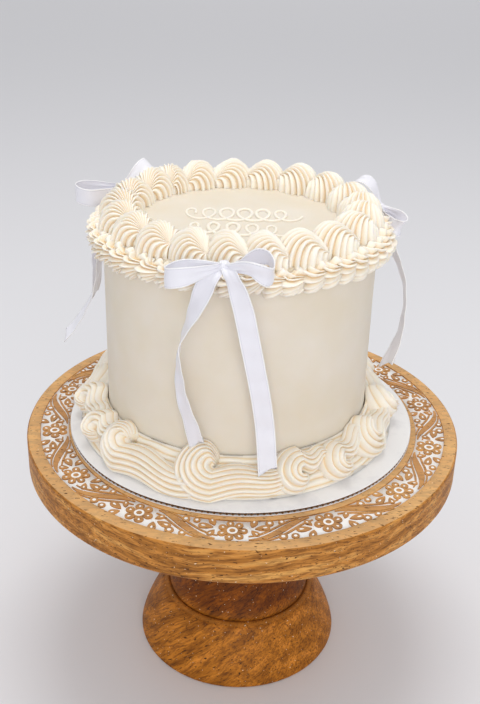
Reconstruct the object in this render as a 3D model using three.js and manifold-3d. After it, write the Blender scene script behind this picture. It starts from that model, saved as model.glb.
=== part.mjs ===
// A round cream cake with piped borders and three ribbon bows, on its board and turned wooden stand.
// Millimetres, +Z up, origin on the stand's axis at the level of the table.
import * as THREE from "three";
import { mergeVertices } from "three/addons/utils/BufferGeometryUtils.js";
import Module from "manifold-3d";

const wasm = await Module();
wasm.setup();

// Stand: a thick round plate with a carved band, on a bell foot with a waisted neck
const STAND_HEIGHT = 155;
const PLATE_RADIUS = 127;
const PLATE_THICKNESS = 21;
const PLATE_BEVEL = 2;
const BAND_OUTER_RADIUS = 119.3;
const BAND_INNER_RADIUS = 103;
const BAND_DEPTH = 0.8;
const RELIEF_DROP = 0.1;
const FLOWER_COUNT = 14;
const FLOWER_PETALS = 6;
const FLOWER_RADIUS = 6.7;
const FLOWER_NOTCH_RADIUS = 3.9;
const FLOWER_SIDESTEP = 1.2;
const FLOWER_PHASE = -169;
const VINE_WIDTH = 2.6;
const VINE_SWING = 6.4;
const VINE_SHARE_OF_PITCH = 0.64;
const FOOT_RADIUS = 63.2;
const BELL_TOP_RADIUS = 48;
const BELL_HEIGHT = 35;
const BELL_BULGE = 1.4;
const GROOVE_RADIUS = 44.5;
const GROOVE_HEIGHT = 37;
const WAIST_RADIUS = 36;
const WAIST_HEIGHT = 80;
const NECK_TOP_RADIUS = 50;

// Board and cake
const BOARD_RADIUS = 100.9;
const BOARD_THICKNESS = 2.6;
const BOARD_CENTRE = new THREE.Vector2(-1.2, 0.7);
const CAKE_RADIUS = 75.4;
const CAKE_HEIGHT = 122;
const CAKE_EDGE_ROUND = 2;
const CAKE_CENTRE = new THREE.Vector2(-4.1, 0.7);

// Large shells on the rim, by the angle of each highest point
const TOP_SHELL_ANGLES = [
  -129, -112, -96, -80.5, -65, -46.5, -26.5, -10, 4, 18.5,
  39, 57.5, 76, 94, 113, 130, 141, 160, 178, 197, 214,
];
const TOP_RING_RADIUS = 65.3;
const TOP_SHELL = {
  back: 12, up: 12.8, down: 3, halfWidth: 12, tailHalfWidth: 5, ridges: 4, ridgeDepth: 0.17, archPoints: 5,
};
const TOP_SHELL_OVERLAP = 4.5;
const TOP_PIVOT_HEIGHT = 2;
const APEX_BEFORE_PIVOT = 2;
const TOP_UNEVENNESS = { radius: 0.8, size: 0.06, meanSize: 1.009, twist: 0.24 };

// Small shells on the upper edge of the wall
const EDGE_SHELL_COUNT = 48;
const EDGE_ROW_DROP = 6.8;
const EDGE_SHELL = { out: 8.6, halfHeight: 6.7, ridges: 4, ridgeDepth: 0.2, lowerTip: 1.6 };
const EDGE_SHELL_STATIONS = [
  { share: 0, size: 0.6, spread: 0.72 },
  { share: 0.2, size: 1, spread: 1 },
  { share: 0.62, size: 0.86, spread: 0.92 },
];
const EDGE_UNEVENNESS = 0.1;
const SPLIT_SLOPE = 0.7;

// Scrolls round the foot of the cake: side 1 curls up the wall, side -1 curls out over the board
const SCROLLS = [
  { angle: -148, side: -1 },
  { angle: -134, side: 1 },
  { angle: -99, side: 1 },
  { angle: -65, side: -1 },
  { angle: -28, side: 1 },
  { angle: 4, side: -1 },
  { angle: 38, side: 1 },
  { angle: 72, side: -1 },
  { angle: 106, side: 1 },
  { angle: 140, side: -1 },
  { angle: 176, side: 1 },
];
const BASE_WIDTH = 16.2;
const BASE_HEIGHT = 18.5;
const SCROLL = {
  radius: 13, rise: 6.2, depth: 9, ridges: 3, ridgeDepth: 0.2, pivotGap: 0.5,
  startBearing: 60, turn: 210, turnSteps: 4, startSize: 0.7,
  tailSteps: 3, tailShrink: 0.12, tailLift: 5.5, tailShortOfNext: 7,
};
const SCROLL_UNEVENNESS = 0.12;

// Piped thread on the top: rows of running loops, each placed from the middle of the cake
const THREAD_WIDTH = 1.7;
const THREAD_SINK = 0.3;
const THREAD_ROWS = [
  { left: new THREE.Vector2(-30, 5), right: new THREE.Vector2(29, 4), height: 10, loops: 6 },
  { left: new THREE.Vector2(-27, -18), right: new THREE.Vector2(24, -21), height: 9, loops: 5 },
];
const LOOP_WIDTH_TO_HEIGHT = 0.62;
const END_LOOP_SIZE = 0.75;

// Ribbon
const RIBBON_WIDTH = 10;
const RIBBON_THICKNESS = 0.5;
const RIBBON_WIDTH_AT_KNOT = 4;
const GATHERED_KEYS = 3;
const KNOT_RADIUS = 3;
const KNOT_RADIUS_FROM_AXIS = 87.5;
const LOOP_START = 0.5;
const LOOP_END_OUT = 1.2;
const FOLD_BACK = 0.35;
const LOOP_KEYS = 10;
const LOOP_STEPS = 12;
const TAIL_STEPS = 9;

const CLEARANCE = 0.3;
const ROUND_SEGMENTS = 48;
const FOOT_SEGMENTS = 28;
const FAR = 140;

// Levels
const PLATE_BOTTOM = STAND_HEIGHT - PLATE_THICKNESS;
const NECK_TOP = PLATE_BOTTOM - CLEARANCE;
const BOARD_BOTTOM = STAND_HEIGHT + CLEARANCE;
const BOARD_TOP = BOARD_BOTTOM + BOARD_THICKNESS;
const CAKE_BOTTOM = BOARD_TOP + CLEARANCE;
const CAKE_TOP = CAKE_BOTTOM + CAKE_HEIGHT;
const CREAM_FLOOR = BOARD_TOP + CLEARANCE;
const CREAM_WALL = CAKE_RADIUS + CLEARANCE;
const CREAM_TABLE = CAKE_TOP + CLEARANCE;

const { lerp, clamp } = THREE.MathUtils;
const DEG = Math.PI / 180;
const UP = new THREE.Vector3(0, 0, 1);
const CREAM = { color: 0xf6ecd9, roughness: 0.62, metalness: 0 };
const PALE_CREAM = { color: 0xe9e2d3, roughness: 0.7, metalness: 0 };
const MANGO_WOOD = { color: 0xb97f48, roughness: 0.55, metalness: 0 };
const DARK_MANGO_WOOD = { color: 0x8a5a30, roughness: 0.5, metalness: 0 };
const WHITE_BOARD = { color: 0xf1f1f3, roughness: 0.4, metalness: 0 };
const SATIN = { color: 0xeeeef6, roughness: 0.35, metalness: 0 };

// A repeatable stream of numbers from 0 to 1, for the unevenness of hand piping
function seededStream(seed) {
  let state = seed;
  return () => {
    state = (state * 1664525 + 1013904223) % 4294967296;
    return state / 4294967296;
  };
}

function smoothstep(from, to, value) {
  const share = clamp((value - from) / (to - from), 0, 1);
  return share * share * (3 - 2 * share);
}

function steps(count, make) {
  return Array.from({ length: count + 1 }, (_, i) => make(i / count, i));
}

// Solids and meshes
function signedVolume(positions, triangles) {
  let total = 0;
  const corner = (index) => new THREE.Vector3().fromArray(positions, 3 * index);
  for (let i = 0; i < triangles.length; i += 3) {
    const a = corner(triangles[i]);
    total += a.dot(corner(triangles[i + 1]).cross(corner(triangles[i + 2]))) / 6;
  }
  return total;
}

function solidFrom(geometry) {
  const bare = geometry.clone();
  bare.deleteAttribute("normal");
  bare.deleteAttribute("uv");
  const merged = mergeVertices(bare, 1e-4);
  const positions = new Float32Array(merged.attributes.position.array);
  const corners = [];
  for (let i = 0; i < merged.index.count; i += 3) {
    const [a, b, c] = [0, 1, 2].map((k) => merged.index.getX(i + k));
    if (a !== b && b !== c && c !== a) {
      corners.push(a, b, c);
    }
  }
  if (signedVolume(positions, corners) < 0) {
    corners.reverse();
  }
  return new wasm.Manifold(
    new wasm.Mesh({ numProp: 3, vertProperties: positions, triVerts: new Uint32Array(corners) }),
  );
}

function meshFrom(name, solid, finish) {
  const cut = solid.getMesh();
  const geometry = new THREE.BufferGeometry();
  geometry.setAttribute("position", new THREE.Float32BufferAttribute(cut.vertProperties, cut.numProp));
  geometry.setIndex(Array.from(cut.triVerts));
  geometry.computeVertexNormals();
  const mesh = new THREE.Mesh(geometry, new THREE.MeshStandardMaterial(finish));
  mesh.name = name;
  return mesh;
}

function joined(solids) {
  return solids.reduce((whole, piece) => whole.add(piece));
}

// A turned body: the outline is [radius, height] pairs, and the segments go round the axis.
function turned(outline, segments, centre = new THREE.Vector2(0, 0)) {
  const points = outline.map(([radius, height]) => new THREE.Vector2(radius, height));
  const geometry = new THREE.LatheGeometry(points, segments);
  geometry.rotateX(Math.PI / 2);
  geometry.translate(centre.x, centre.y, 0);
  return solidFrom(geometry);
}

// A skin over a row of rings with equal numbers of points, closed by a fan to a point at each end. The
// columns listed in crossed are split along their other diagonal, so that the two faces of a thin,
// twisted strip stay side by side.
function lofted(rings, firstPoint, lastPoint, crossed = []) {
  const count = rings[0].length;
  const points = [firstPoint, ...rings.flat(), lastPoint];
  const at = (ring, i) => 1 + ring * count + (i % count);
  const triangles = [];
  for (let i = 0; i < count; i += 1) {
    triangles.push(0, at(0, i + 1), at(0, i));
    triangles.push(points.length - 1, at(rings.length - 1, i), at(rings.length - 1, i + 1));
    for (let ring = 0; ring + 1 < rings.length; ring += 1) {
      const [a, b, c, d] = [at(ring, i), at(ring, i + 1), at(ring + 1, i + 1), at(ring + 1, i)];
      triangles.push(...(crossed.includes(i) ? [a, b, c, a, c, d] : [a, b, d, b, c, d]));
    }
  }
  const geometry = new THREE.BufferGeometry().setFromPoints(points);
  geometry.setIndex(triangles);
  return solidFrom(geometry);
}

// The same, closed into a ring
function loftedRing(rings) {
  const count = rings[0].length;
  const at = (ring, i) => (ring % rings.length) * count + (i % count);
  const triangles = [];
  for (let ring = 0; ring < rings.length; ring += 1) {
    for (let i = 0; i < count; i += 1) {
      triangles.push(at(ring, i), at(ring, i + 1), at(ring + 1, i));
      triangles.push(at(ring, i + 1), at(ring + 1, i + 1), at(ring + 1, i));
    }
  }
  const geometry = new THREE.BufferGeometry().setFromPoints(rings.flat());
  geometry.setIndex(triangles);
  return solidFrom(geometry);
}

function middle(points) {
  return points.reduce((sum, point) => sum.add(point), new THREE.Vector3()).divideScalar(points.length);
}

// Places and directions round the cake's axis
function aroundCake(angle, radius, height) {
  return new THREE.Vector3(
    CAKE_CENTRE.x + radius * Math.cos(angle * DEG),
    CAKE_CENTRE.y + radius * Math.sin(angle * DEG),
    height,
  );
}

function tangentAt(angle) {
  return new THREE.Vector3(-Math.sin(angle * DEG), Math.cos(angle * DEG), 0);
}

function outwardAt(angle) {
  return new THREE.Vector3(Math.cos(angle * DEG), Math.sin(angle * DEG), 0);
}

function frameAt(origin, forward, across, up) {
  return new THREE.Matrix4().makeBasis(forward, across, up).setPosition(origin);
}

// Carved plate
function reliefSlab(outline, top) {
  const bottom = STAND_HEIGHT - 2 * BAND_DEPTH;
  const upright = { depth: top - bottom, bevelEnabled: false };
  const slab = new THREE.ExtrudeGeometry(new THREE.Shape(outline), upright);
  slab.translate(0, 0, bottom);
  return solidFrom(slab);
}

function bandMiddle() {
  return (BAND_OUTER_RADIUS + BAND_INNER_RADIUS) / 2;
}

function flowerOutline(centreAngle, centreRadius) {
  const corners = 2 * FLOWER_PETALS;
  return Array.from({ length: corners }, (_, i) => {
    const turn = (2 * Math.PI * i) / corners;
    const reach = i % 2 === 0 ? FLOWER_NOTCH_RADIUS : FLOWER_RADIUS;
    const point = new THREE.Vector2(centreRadius + reach * Math.cos(turn), reach * Math.sin(turn));
    return point.rotateAround(new THREE.Vector2(0, 0), centreAngle * DEG);
  });
}

function vineOutline(fromAngle, toAngle) {
  const side = (offset) =>
    steps(3, (share) => {
      const angle = lerp(fromAngle, toAngle, share);
      const phase = ((angle - FLOWER_PHASE) * FLOWER_COUNT * DEG) / 2;
      const radius = bandMiddle() - VINE_SWING * Math.cos(phase) + offset;
      return new THREE.Vector2(radius * Math.cos(angle * DEG), radius * Math.sin(angle * DEG));
    });
  return [...side(VINE_WIDTH / 2), ...side(-VINE_WIDTH / 2).reverse()];
}

function carvedPlate() {
  const floor = STAND_HEIGHT - BAND_DEPTH;
  const slab = turned(
    [
      [0, PLATE_BOTTOM], [PLATE_RADIUS - PLATE_BEVEL, PLATE_BOTTOM],
      [PLATE_RADIUS, PLATE_BOTTOM + PLATE_BEVEL], [PLATE_RADIUS, STAND_HEIGHT],
      [BAND_OUTER_RADIUS, STAND_HEIGHT], [BAND_OUTER_RADIUS, floor],
      [BAND_INNER_RADIUS, floor], [BAND_INNER_RADIUS, STAND_HEIGHT], [0, STAND_HEIGHT],
    ],
    ROUND_SEGMENTS,
  );
  const relief = [];
  const pitch = 360 / FLOWER_COUNT;
  const vineMargin = (pitch * (1 - VINE_SHARE_OF_PITCH)) / 2;
  for (let i = 0; i < FLOWER_COUNT; i += 1) {
    const angle = FLOWER_PHASE + i * pitch;
    const centreRadius = bandMiddle() + (i % 2 === 0 ? FLOWER_SIDESTEP : -FLOWER_SIDESTEP);
    const vine = vineOutline(angle + vineMargin, angle + pitch - vineMargin);
    relief.push(reliefSlab(flowerOutline(angle, centreRadius), STAND_HEIGHT - RELIEF_DROP));
    relief.push(reliefSlab(vine, STAND_HEIGHT - 2 * RELIEF_DROP));
  }
  return joined([slab, ...relief]);
}

// Bell foot and neck: the bell falls away faster than a cone, and the neck is two parabolas that
// meet at the waist.
function turnedFoot() {
  const bell = steps(5, (share) => [
    lerp(FOOT_RADIUS, BELL_TOP_RADIUS, share ** BELL_BULGE), BELL_HEIGHT * share,
  ]);
  const neck = steps(6, (share) => {
    const height = lerp(GROOVE_HEIGHT, NECK_TOP, share);
    const below = height < WAIST_HEIGHT;
    const end = below ? GROOVE_HEIGHT : NECK_TOP;
    const flare = below ? GROOVE_RADIUS : NECK_TOP_RADIUS;
    return [lerp(WAIST_RADIUS, flare, ((height - WAIST_HEIGHT) / (end - WAIST_HEIGHT)) ** 2), height];
  });
  return turned([[0, 0], ...bell, ...neck, [0, NECK_TOP]], FOOT_SEGMENTS);
}

function board() {
  return turned(
    [[0, BOARD_BOTTOM], [BOARD_RADIUS, BOARD_BOTTOM], [BOARD_RADIUS, BOARD_TOP], [0, BOARD_TOP]],
    ROUND_SEGMENTS,
    BOARD_CENTRE,
  );
}

// A row of running loops, cut into short lengths so that each crossing is a clean join
function loopRow({ left, right, height, loops }) {
  const along = right.clone().sub(left);
  const loopWidth = LOOP_WIDTH_TO_HEIGHT * height;
  const point = (turns) => {
    const swing = 2 * Math.PI * turns;
    const grow = lerp(END_LOOP_SIZE, 1, Math.sin((Math.PI * turns) / loops));
    const place = left.clone().addScaledVector(along, turns / loops).add(CAKE_CENTRE);
    return new THREE.Vector3(
      place.x + loopWidth * grow * Math.cos(swing),
      place.y + height * grow * Math.sin(swing),
      CAKE_TOP + THREAD_SINK,
    );
  };
  const half = THREAD_WIDTH / 2;
  const foot = 2 * THREAD_SINK;
  const section = new THREE.Shape([
    new THREE.Vector2(-half, 0), new THREE.Vector2(foot, half), new THREE.Vector2(foot, -half),
  ]);
  const turnsPerLength = 0.5;
  const overlap = 0.02;
  const pathSteps = 4;
  const lengths = steps(loops / turnsPerLength - 1, (_, i) => {
    const from = i * turnsPerLength - overlap;
    const to = from + turnsPerLength + 2 * overlap;
    const points = steps(pathSteps, (share) => point(lerp(from, to, share)));
    const extrudePath = new THREE.CatmullRomCurve3(points);
    const options = { steps: pathSteps, bevelEnabled: false, extrudePath };
    return solidFrom(new THREE.ExtrudeGeometry(section, options));
  });
  return joined(lengths);
}

function cakeBody() {
  const topEdge = steps(2, (share) => {
    const turn = (share * Math.PI) / 2;
    const inward = CAKE_EDGE_ROUND * (1 - Math.cos(turn));
    const downward = CAKE_EDGE_ROUND * (1 - Math.sin(turn));
    return [CAKE_RADIUS - inward, CAKE_TOP - downward];
  });
  const outline = [[0, CAKE_BOTTOM], [CAKE_RADIUS, CAKE_BOTTOM], ...topEdge, [0, CAKE_TOP]];
  return joined([turned(outline, ROUND_SEGMENTS, CAKE_CENTRE), ...THREAD_ROWS.map(loopRow)]);
}

// A piped shell: ridges run round a level axle, so from the side they are nested arches. The axle
// lies across the shell, the head is behind it and the drawn-out tail in front of it.
function shell(form, frame, size, twist) {
  const strips = 2 * form.ridges;
  const reach = (turn) => {
    const along = -Math.cos(turn);
    const rise = Math.sin(turn);
    const length = along > 0 ? form.front : form.back;
    const height = rise > 0 ? form.up : form.down;
    return 1 / Math.hypot(along / length, rise / height);
  };
  const ring = (j) => {
    const lean = (Math.PI * j) / strips;
    const ridge = j % 2 === 0 ? 1 : 1 - form.ridgeDepth;
    const turns = [...steps(form.archPoints - 1, (share) => Math.PI * share), 1.5 * Math.PI];
    return turns.map((turn) => {
      const tail = smoothstep(-0.2, 1, -Math.cos(turn)) * Math.sin(lean);
      const half = lerp(form.halfWidth, form.tailHalfWidth, tail);
      const radius = size * reach(turn) * Math.sin(lean) * ridge;
      const across = (-size * half * Math.cos(lean) * (1 + ridge)) / 2;
      const forward = -radius * Math.cos(turn);
      const upward = radius * Math.sin(turn);
      return new THREE.Vector3(forward, across + twist * forward, upward).applyMatrix4(frame);
    });
  };
  const rings = Array.from({ length: strips - 1 }, (_, j) => ring(j + 1));
  const pole = (side) => new THREE.Vector3(0, side * size * form.halfWidth, 0).applyMatrix4(frame);
  return lofted(rings, pole(-1), pole(1));
}

function topBorder() {
  const draw = seededStream(11);
  const shells = TOP_SHELL_ANGLES.map((apex, i) => {
    const next = TOP_SHELL_ANGLES[i + 1] ?? TOP_SHELL_ANGLES[0] + 360;
    const front = (next - apex) * DEG * TOP_RING_RADIUS - TOP_SHELL.back + TOP_SHELL_OVERLAP;
    const angle = apex + APEX_BEFORE_PIVOT / TOP_RING_RADIUS / DEG;
    const radius = TOP_RING_RADIUS + TOP_UNEVENNESS.radius * (draw() - 0.5);
    const origin = aroundCake(angle, radius, CREAM_TABLE + TOP_PIVOT_HEIGHT);
    const frame = frameAt(origin, tangentAt(angle), outwardAt(angle).negate(), UP);
    const size = TOP_UNEVENNESS.meanSize + TOP_UNEVENNESS.size * (draw() - 0.5);
    return shell({ ...TOP_SHELL, front }, frame, size, TOP_UNEVENNESS.twist * (draw() - 0.5));
  });
  const splitTop = CREAM_TABLE + (FAR - CAKE_RADIUS) * SPLIT_SLOPE;
  const under = turned(
    [
      [0, CREAM_TABLE - FAR], [FAR, CREAM_TABLE - FAR], [FAR, splitTop], [CAKE_RADIUS, CREAM_TABLE],
      [0, CREAM_TABLE],
    ],
    ROUND_SEGMENTS,
    CAKE_CENTRE,
  );
  return joined(shells).subtract(under);
}

// The row of small shells along the edge of the wall: a closed ring of sections, three to a shell,
// each a fan of crests and valleys from the top of the wall out and down to the shell's lower tip.
function edgeBorder() {
  const draw = seededStream(23);
  const level = CAKE_TOP - EDGE_ROW_DROP;
  const sections = Array.from({ length: EDGE_SHELL_COUNT }, (_, i) => {
    const whole = 1 + EDGE_UNEVENNESS * (draw() - 0.5);
    const tip = EDGE_SHELL.lowerTip * draw();
    const lean = draw() - 0.5;
    return EDGE_SHELL_STATIONS.map(({ share, size, spread }) => {
      const angle = (360 / EDGE_SHELL_COUNT) * (i + share);
      return steps(2 * EDGE_SHELL.ridges, (along, j) => {
        const turn = Math.PI * (along - 0.5);
        const ridge = j % 2 === 1 ? 1 : 1 - EDGE_SHELL.ridgeDepth;
        const height = EDGE_SHELL.halfHeight * spread * Math.sin(turn);
        const slant = lean * (share - 0.5) * Math.cos(turn);
        const drop = turn < 0 ? tip * size * -Math.sin(turn) : 0;
        const radius = CREAM_WALL + EDGE_SHELL.out * whole * size * Math.cos(turn) * ridge;
        return aroundCake(angle, radius, level + height + slant - drop);
      });
    });
  });
  return loftedRing(sections.flat());
}

// The slope of cream between board and wall: s runs round the cake, b up the slope, h out of it.
const SLOPE_LENGTH = Math.hypot(BASE_WIDTH, BASE_HEIGHT);
const SLOPE_RADIUS = CREAM_WALL + BASE_WIDTH / 2;

function onSlope(angle, s, b, h) {
  const inward = BASE_WIDTH / SLOPE_LENGTH;
  const upward = BASE_HEIGHT / SLOPE_LENGTH;
  const radius = CREAM_WALL + BASE_WIDTH - b * inward + h * upward;
  return aroundCake(angle + s / SLOPE_RADIUS / DEG, radius, CREAM_FLOOR + b * upward + h * inward);
}

// A reversed shell: an arched ridge bundle that turns round one end of a pivot, then trails away.
function scroll({ angle, side }, size, tailLength) {
  const strips = 2 * SCROLL.ridges;
  const section = (pivotS, pivotB, bearing, reach, rise) => {
    const place = (rho, h) =>
      onSlope(
        angle,
        pivotS + rho * Math.cos(bearing * DEG),
        SLOPE_LENGTH / 2 + side * (pivotB + rho * Math.sin(bearing * DEG)),
        h,
      );
    const arch = steps(strips, (share, j) => {
      const ridge = j % 2 === 1 ? 1 : 1 - SCROLL.ridgeDepth;
      const rho = lerp(SCROLL.pivotGap, reach, (1 - Math.cos(Math.PI * share) * ridge) / 2);
      return place(rho, rise * Math.sin(Math.PI * share) * ridge);
    });
    return [...arch, place(reach * 0.9, -SCROLL.depth), place(SCROLL.pivotGap, -SCROLL.depth)];
  };
  const head = steps(SCROLL.turnSteps, (share) => {
    const grow = size * lerp(SCROLL.startSize, 1, smoothstep(0, 0.5, share));
    const bearing = SCROLL.startBearing + SCROLL.turn * share;
    return section(0, 0, bearing, SCROLL.radius * grow, SCROLL.rise * grow);
  });
  const tailBearing = SCROLL.startBearing + SCROLL.turn;
  const tail = steps(SCROLL.tailSteps, (share) => {
    const shrink = size * (1 - SCROLL.tailShrink * share);
    const radius = SCROLL.radius * shrink;
    return section(tailLength * share, SCROLL.tailLift * share, tailBearing, radius, SCROLL.rise * shrink);
  });
  const rings = [...head, ...tail.slice(1)];
  return lofted(rings, middle(rings[0]), middle(rings[rings.length - 1]));
}

function baseBorder() {
  const draw = seededStream(37);
  const scrolls = SCROLLS.map((place, i) => {
    const next = SCROLLS[i + 1]?.angle ?? SCROLLS[0].angle + 360;
    const tailLength = (next - place.angle) * DEG * SLOPE_RADIUS - SCROLL.tailShortOfNext;
    return scroll(place, 1 + SCROLL_UNEVENNESS * (draw() - 0.5), tailLength);
  });
  const cakeAndBoard = turned(
    [
      [0, CREAM_FLOOR - FAR], [FAR, CREAM_FLOOR - FAR], [FAR, CREAM_FLOOR], [CREAM_WALL, CREAM_FLOOR],
      [CREAM_WALL, CREAM_FLOOR + FAR], [0, CREAM_FLOOR + FAR],
    ],
    ROUND_SEGMENTS,
    CAKE_CENTRE,
  );
  return joined(scrolls).subtract(cakeAndBoard);
}

// Ribbon: a thin strip along a path, in equal steps. Each key gives a point, the way the width lies
// there and the width. A section's corners run from rear to front, and the front face is column 2.
const FRONT_FACE_COLUMN = 2;
function ribbon(keys, stepCount, endCut = 0) {
  const centre = new THREE.CatmullRomCurve3(keys.map((key) => key.point));
  const lie = new THREE.CatmullRomCurve3(keys.map((key) => key.across));
  const wide = new THREE.CatmullRomCurve3(keys.map((key) => new THREE.Vector3(key.width, 0, 0)));
  const rings = steps(stepCount, (share) => {
    const key = centre.getUtoTmapping(share);
    const point = centre.getPoint(key);
    const along = centre.getTangent(key);
    const across = lie.getPoint(key);
    across.addScaledVector(along, -across.dot(along)).normalize();
    const facing = along.clone().cross(across);
    const half = wide.getPoint(key).x / 2;
    return [[-1, -1], [1, -1], [1, 1], [-1, 1]].map(([side, face]) =>
      point
        .clone()
        .addScaledVector(across, side * half)
        .addScaledVector(along, share === 1 ? side * endCut : 0)
        .addScaledVector(facing, (face * RIBBON_THICKNESS) / 2),
    );
  });
  return lofted(rings, middle(rings[0]), middle(rings[rings.length - 1]), [FRONT_FACE_COLUMN]);
}

// One loop of a bow, out from the knot along its rear strip and back along its front strip. reach is
// its length and belly how far the strips part; lift, arch and spread raise its end, both strips, and
// the rear strip over the front one; fold lays its upper edge out and back towards the knot. swing
// turns the loop in towards the cake, tilt raises it and roll turns it on its own length, in degrees.
function loopKeys({ reach, belly, lift, arch, spread, fold, swing, tilt, roll }, angle, knot, side) {
  const heading = tangentAt(angle).multiplyScalar(side).applyAxisAngle(UP, side * swing * DEG);
  const outward = outwardAt(angle).applyAxisAngle(UP, side * swing * DEG);
  const rise = new THREE.Quaternion().setFromAxisAngle(heading.clone().cross(UP), tilt * DEG);
  rise.multiply(new THREE.Quaternion().setFromAxisAngle(heading, side * roll * DEG));
  return steps(LOOP_KEYS, (share) => {
    const far = Math.sin(Math.PI * share);
    const apart = Math.sin(2 * Math.PI * share);
    const point = new THREE.Vector3()
      .addScaledVector(heading, reach * far + LOOP_START)
      .addScaledVector(outward, belly * (0.5 * far - apart) + LOOP_END_OUT * share)
      .addScaledVector(UP, lift * far + arch * apart ** 2 + spread * apart + LOOP_START * share);
    const across = UP.clone()
      .addScaledVector(outward, fold * far ** 2)
      .addScaledVector(heading, -FOLD_BACK * fold * far ** 2);
    return {
      point: point.applyQuaternion(rise).add(knot),
      across: across.applyQuaternion(rise),
      width: lerp(RIBBON_WIDTH_AT_KNOT, RIBBON_WIDTH, smoothstep(0, 0.75, far)),
    };
  });
}

// A hanging tail, by keys of angle, distance from the axis, height and the turn of its width out of
// the tangent.
function tailKeys(table) {
  return table.map(([angle, radius, height, turn], i) => ({
    point: aroundCake(angle, radius, height),
    across: tangentAt(angle).applyAxisAngle(UP, -turn * DEG),
    width: lerp(RIBBON_WIDTH_AT_KNOT, RIBBON_WIDTH, Math.min(1, i / GATHERED_KEYS)),
  }));
}

function bow({ angle, height, clockwiseLoop, counterLoop, tails }) {
  const knotCentre = aroundCake(angle, KNOT_RADIUS_FROM_AXIS, height);
  const knot = new THREE.SphereGeometry(KNOT_RADIUS, 8, 5);
  knot.translate(knotCentre.x, knotCentre.y, knotCentre.z);
  return joined([
    solidFrom(knot),
    ribbon(loopKeys(clockwiseLoop, angle, knotCentre, -1), LOOP_STEPS),
    ribbon(loopKeys(counterLoop, angle, knotCentre, 1), LOOP_STEPS),
    ...tails.map((tail) => ribbon(tailKeys(tail.keys), TAIL_STEPS, tail.cut)),
  ]);
}

const LEVEL_LOOP = {
  reach: 27.2, belly: 5.6, lift: -5.4, arch: 0, spread: -0.9, fold: 0, swing: 0, tilt: 0, roll: 0,
};
const ROLLED_LOOP = {
  reach: 21.5, belly: 4, lift: -0.6, arch: 2.6, spread: 0.4, fold: 0.9, swing: 0, tilt: 0, roll: 0,
};
const STANDING_LOOP = {
  reach: 20.5, belly: 4.8, lift: 0, arch: 0, spread: 0, fold: 0, swing: 55, tilt: 57, roll: 70,
};

const FRONT_BOW = {
  angle: -94.3,
  height: 286.4,
  clockwiseLoop: LEVEL_LOOP,
  counterLoop: ROLLED_LOOP,
  tails: [
    {
      cut: -4.4,
      keys: [
        [-94.9, 88.4, 285.8, 0], [-96.2, 91.2, 284.6, 10], [-97.8, 92.2, 281.6, 20],
        [-99.2, 92, 278.3, 20], [-101.5, 90.5, 269.6, 29], [-105.4, 88, 256.3, 56],
        [-108.6, 85.8, 243.2, 72], [-109.7, 84, 227.1, 47], [-108.6, 82.8, 209.7, 28],
        [-105.2, 82, 192.6, 18], [-103.6, 82, 184.6, 12],
      ],
    },
    {
      cut: -3.1,
      keys: [
        [-94, 88.4, 286.2, 0], [-93, 91.4, 286.2, 10], [-91.7, 93.2, 283.5, 25], [-90.2, 93, 278, 25],
        [-88.2, 91, 266.2, 8], [-85.9, 88, 249.1, 4], [-83.5, 85.5, 231.4, 6], [-81.1, 84, 213.6, 9],
        [-79.3, 84, 195.9, 11], [-78.9, 86.5, 185.5, 11], [-78.6, 89, 174.6, 12],
      ],
    },
  ],
};

const RIGHT_BOW = {
  angle: 23,
  height: 277,
  clockwiseLoop: { ...LEVEL_LOOP, reach: 18.8, belly: 3.6, lift: 0, fold: 0.6, tilt: -19 },
  counterLoop: STANDING_LOOP,
  tails: [
    {
      cut: 5,
      keys: [
        [22.6, 88.4, 276.6, 0], [21.8, 91.6, 274.5, 0], [21.2, 93.2, 267, -6], [20.5, 95.3, 254.1, -4],
        [19.2, 98.4, 245.8, 0], [18, 101, 238, 5], [15.9, 103.2, 220.6, 16], [13.5, 99.7, 202.3, 8],
        [12.2, 96.4, 194.3, -3], [11.1, 92, 184.5, -18],
      ],
    },
    {
      cut: -3.1,
      keys: [
        [23.4, 88.4, 276.8, 0], [25.2, 92.4, 275, 0], [27, 92.4, 268, 0], [29.4, 90, 257, 0],
        [31, 87.4, 242, 0], [32.4, 85.4, 226, 0], [33.8, 84.4, 210, 0], [35, 86, 196, 0],
        [35.6, 89, 186, 0],
      ],
    },
  ],
};

const BACK_LEFT_BOW = {
  angle: 144,
  height: 279.4,
  clockwiseLoop: { ...STANDING_LOOP, reach: 23, swing: 12, tilt: 30, roll: 50 },
  counterLoop: { ...LEVEL_LOOP, reach: 29.5, lift: 0.6, swing: -6 },
  tails: [
    {
      cut: 2.7,
      keys: [
        [144.6, 88.4, 279, 0], [147.5, 92.2, 277.4, 0], [151, 92.4, 270, 0], [155, 90.5, 257, -5],
        [157.4, 90.1, 244.1, -8], [158, 92.2, 229.9, -15], [159.1, 97.1, 213.3, -28],
        [161, 106.6, 196.8, -40], [162, 112, 189.6, -42],
      ],
    },
    {
      cut: 2.7,
      keys: [
        [143.4, 88.4, 279.2, 0], [146, 94, 277.8, 0], [149, 97, 270, 0], [151.4, 98, 257, 0],
        [152.4, 98.2, 242, 0], [152.6, 98.5, 231, 0], [152.6, 99.4, 221, -5], [152.8, 100.4, 213, -10],
      ],
    },
  ],
};

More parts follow.
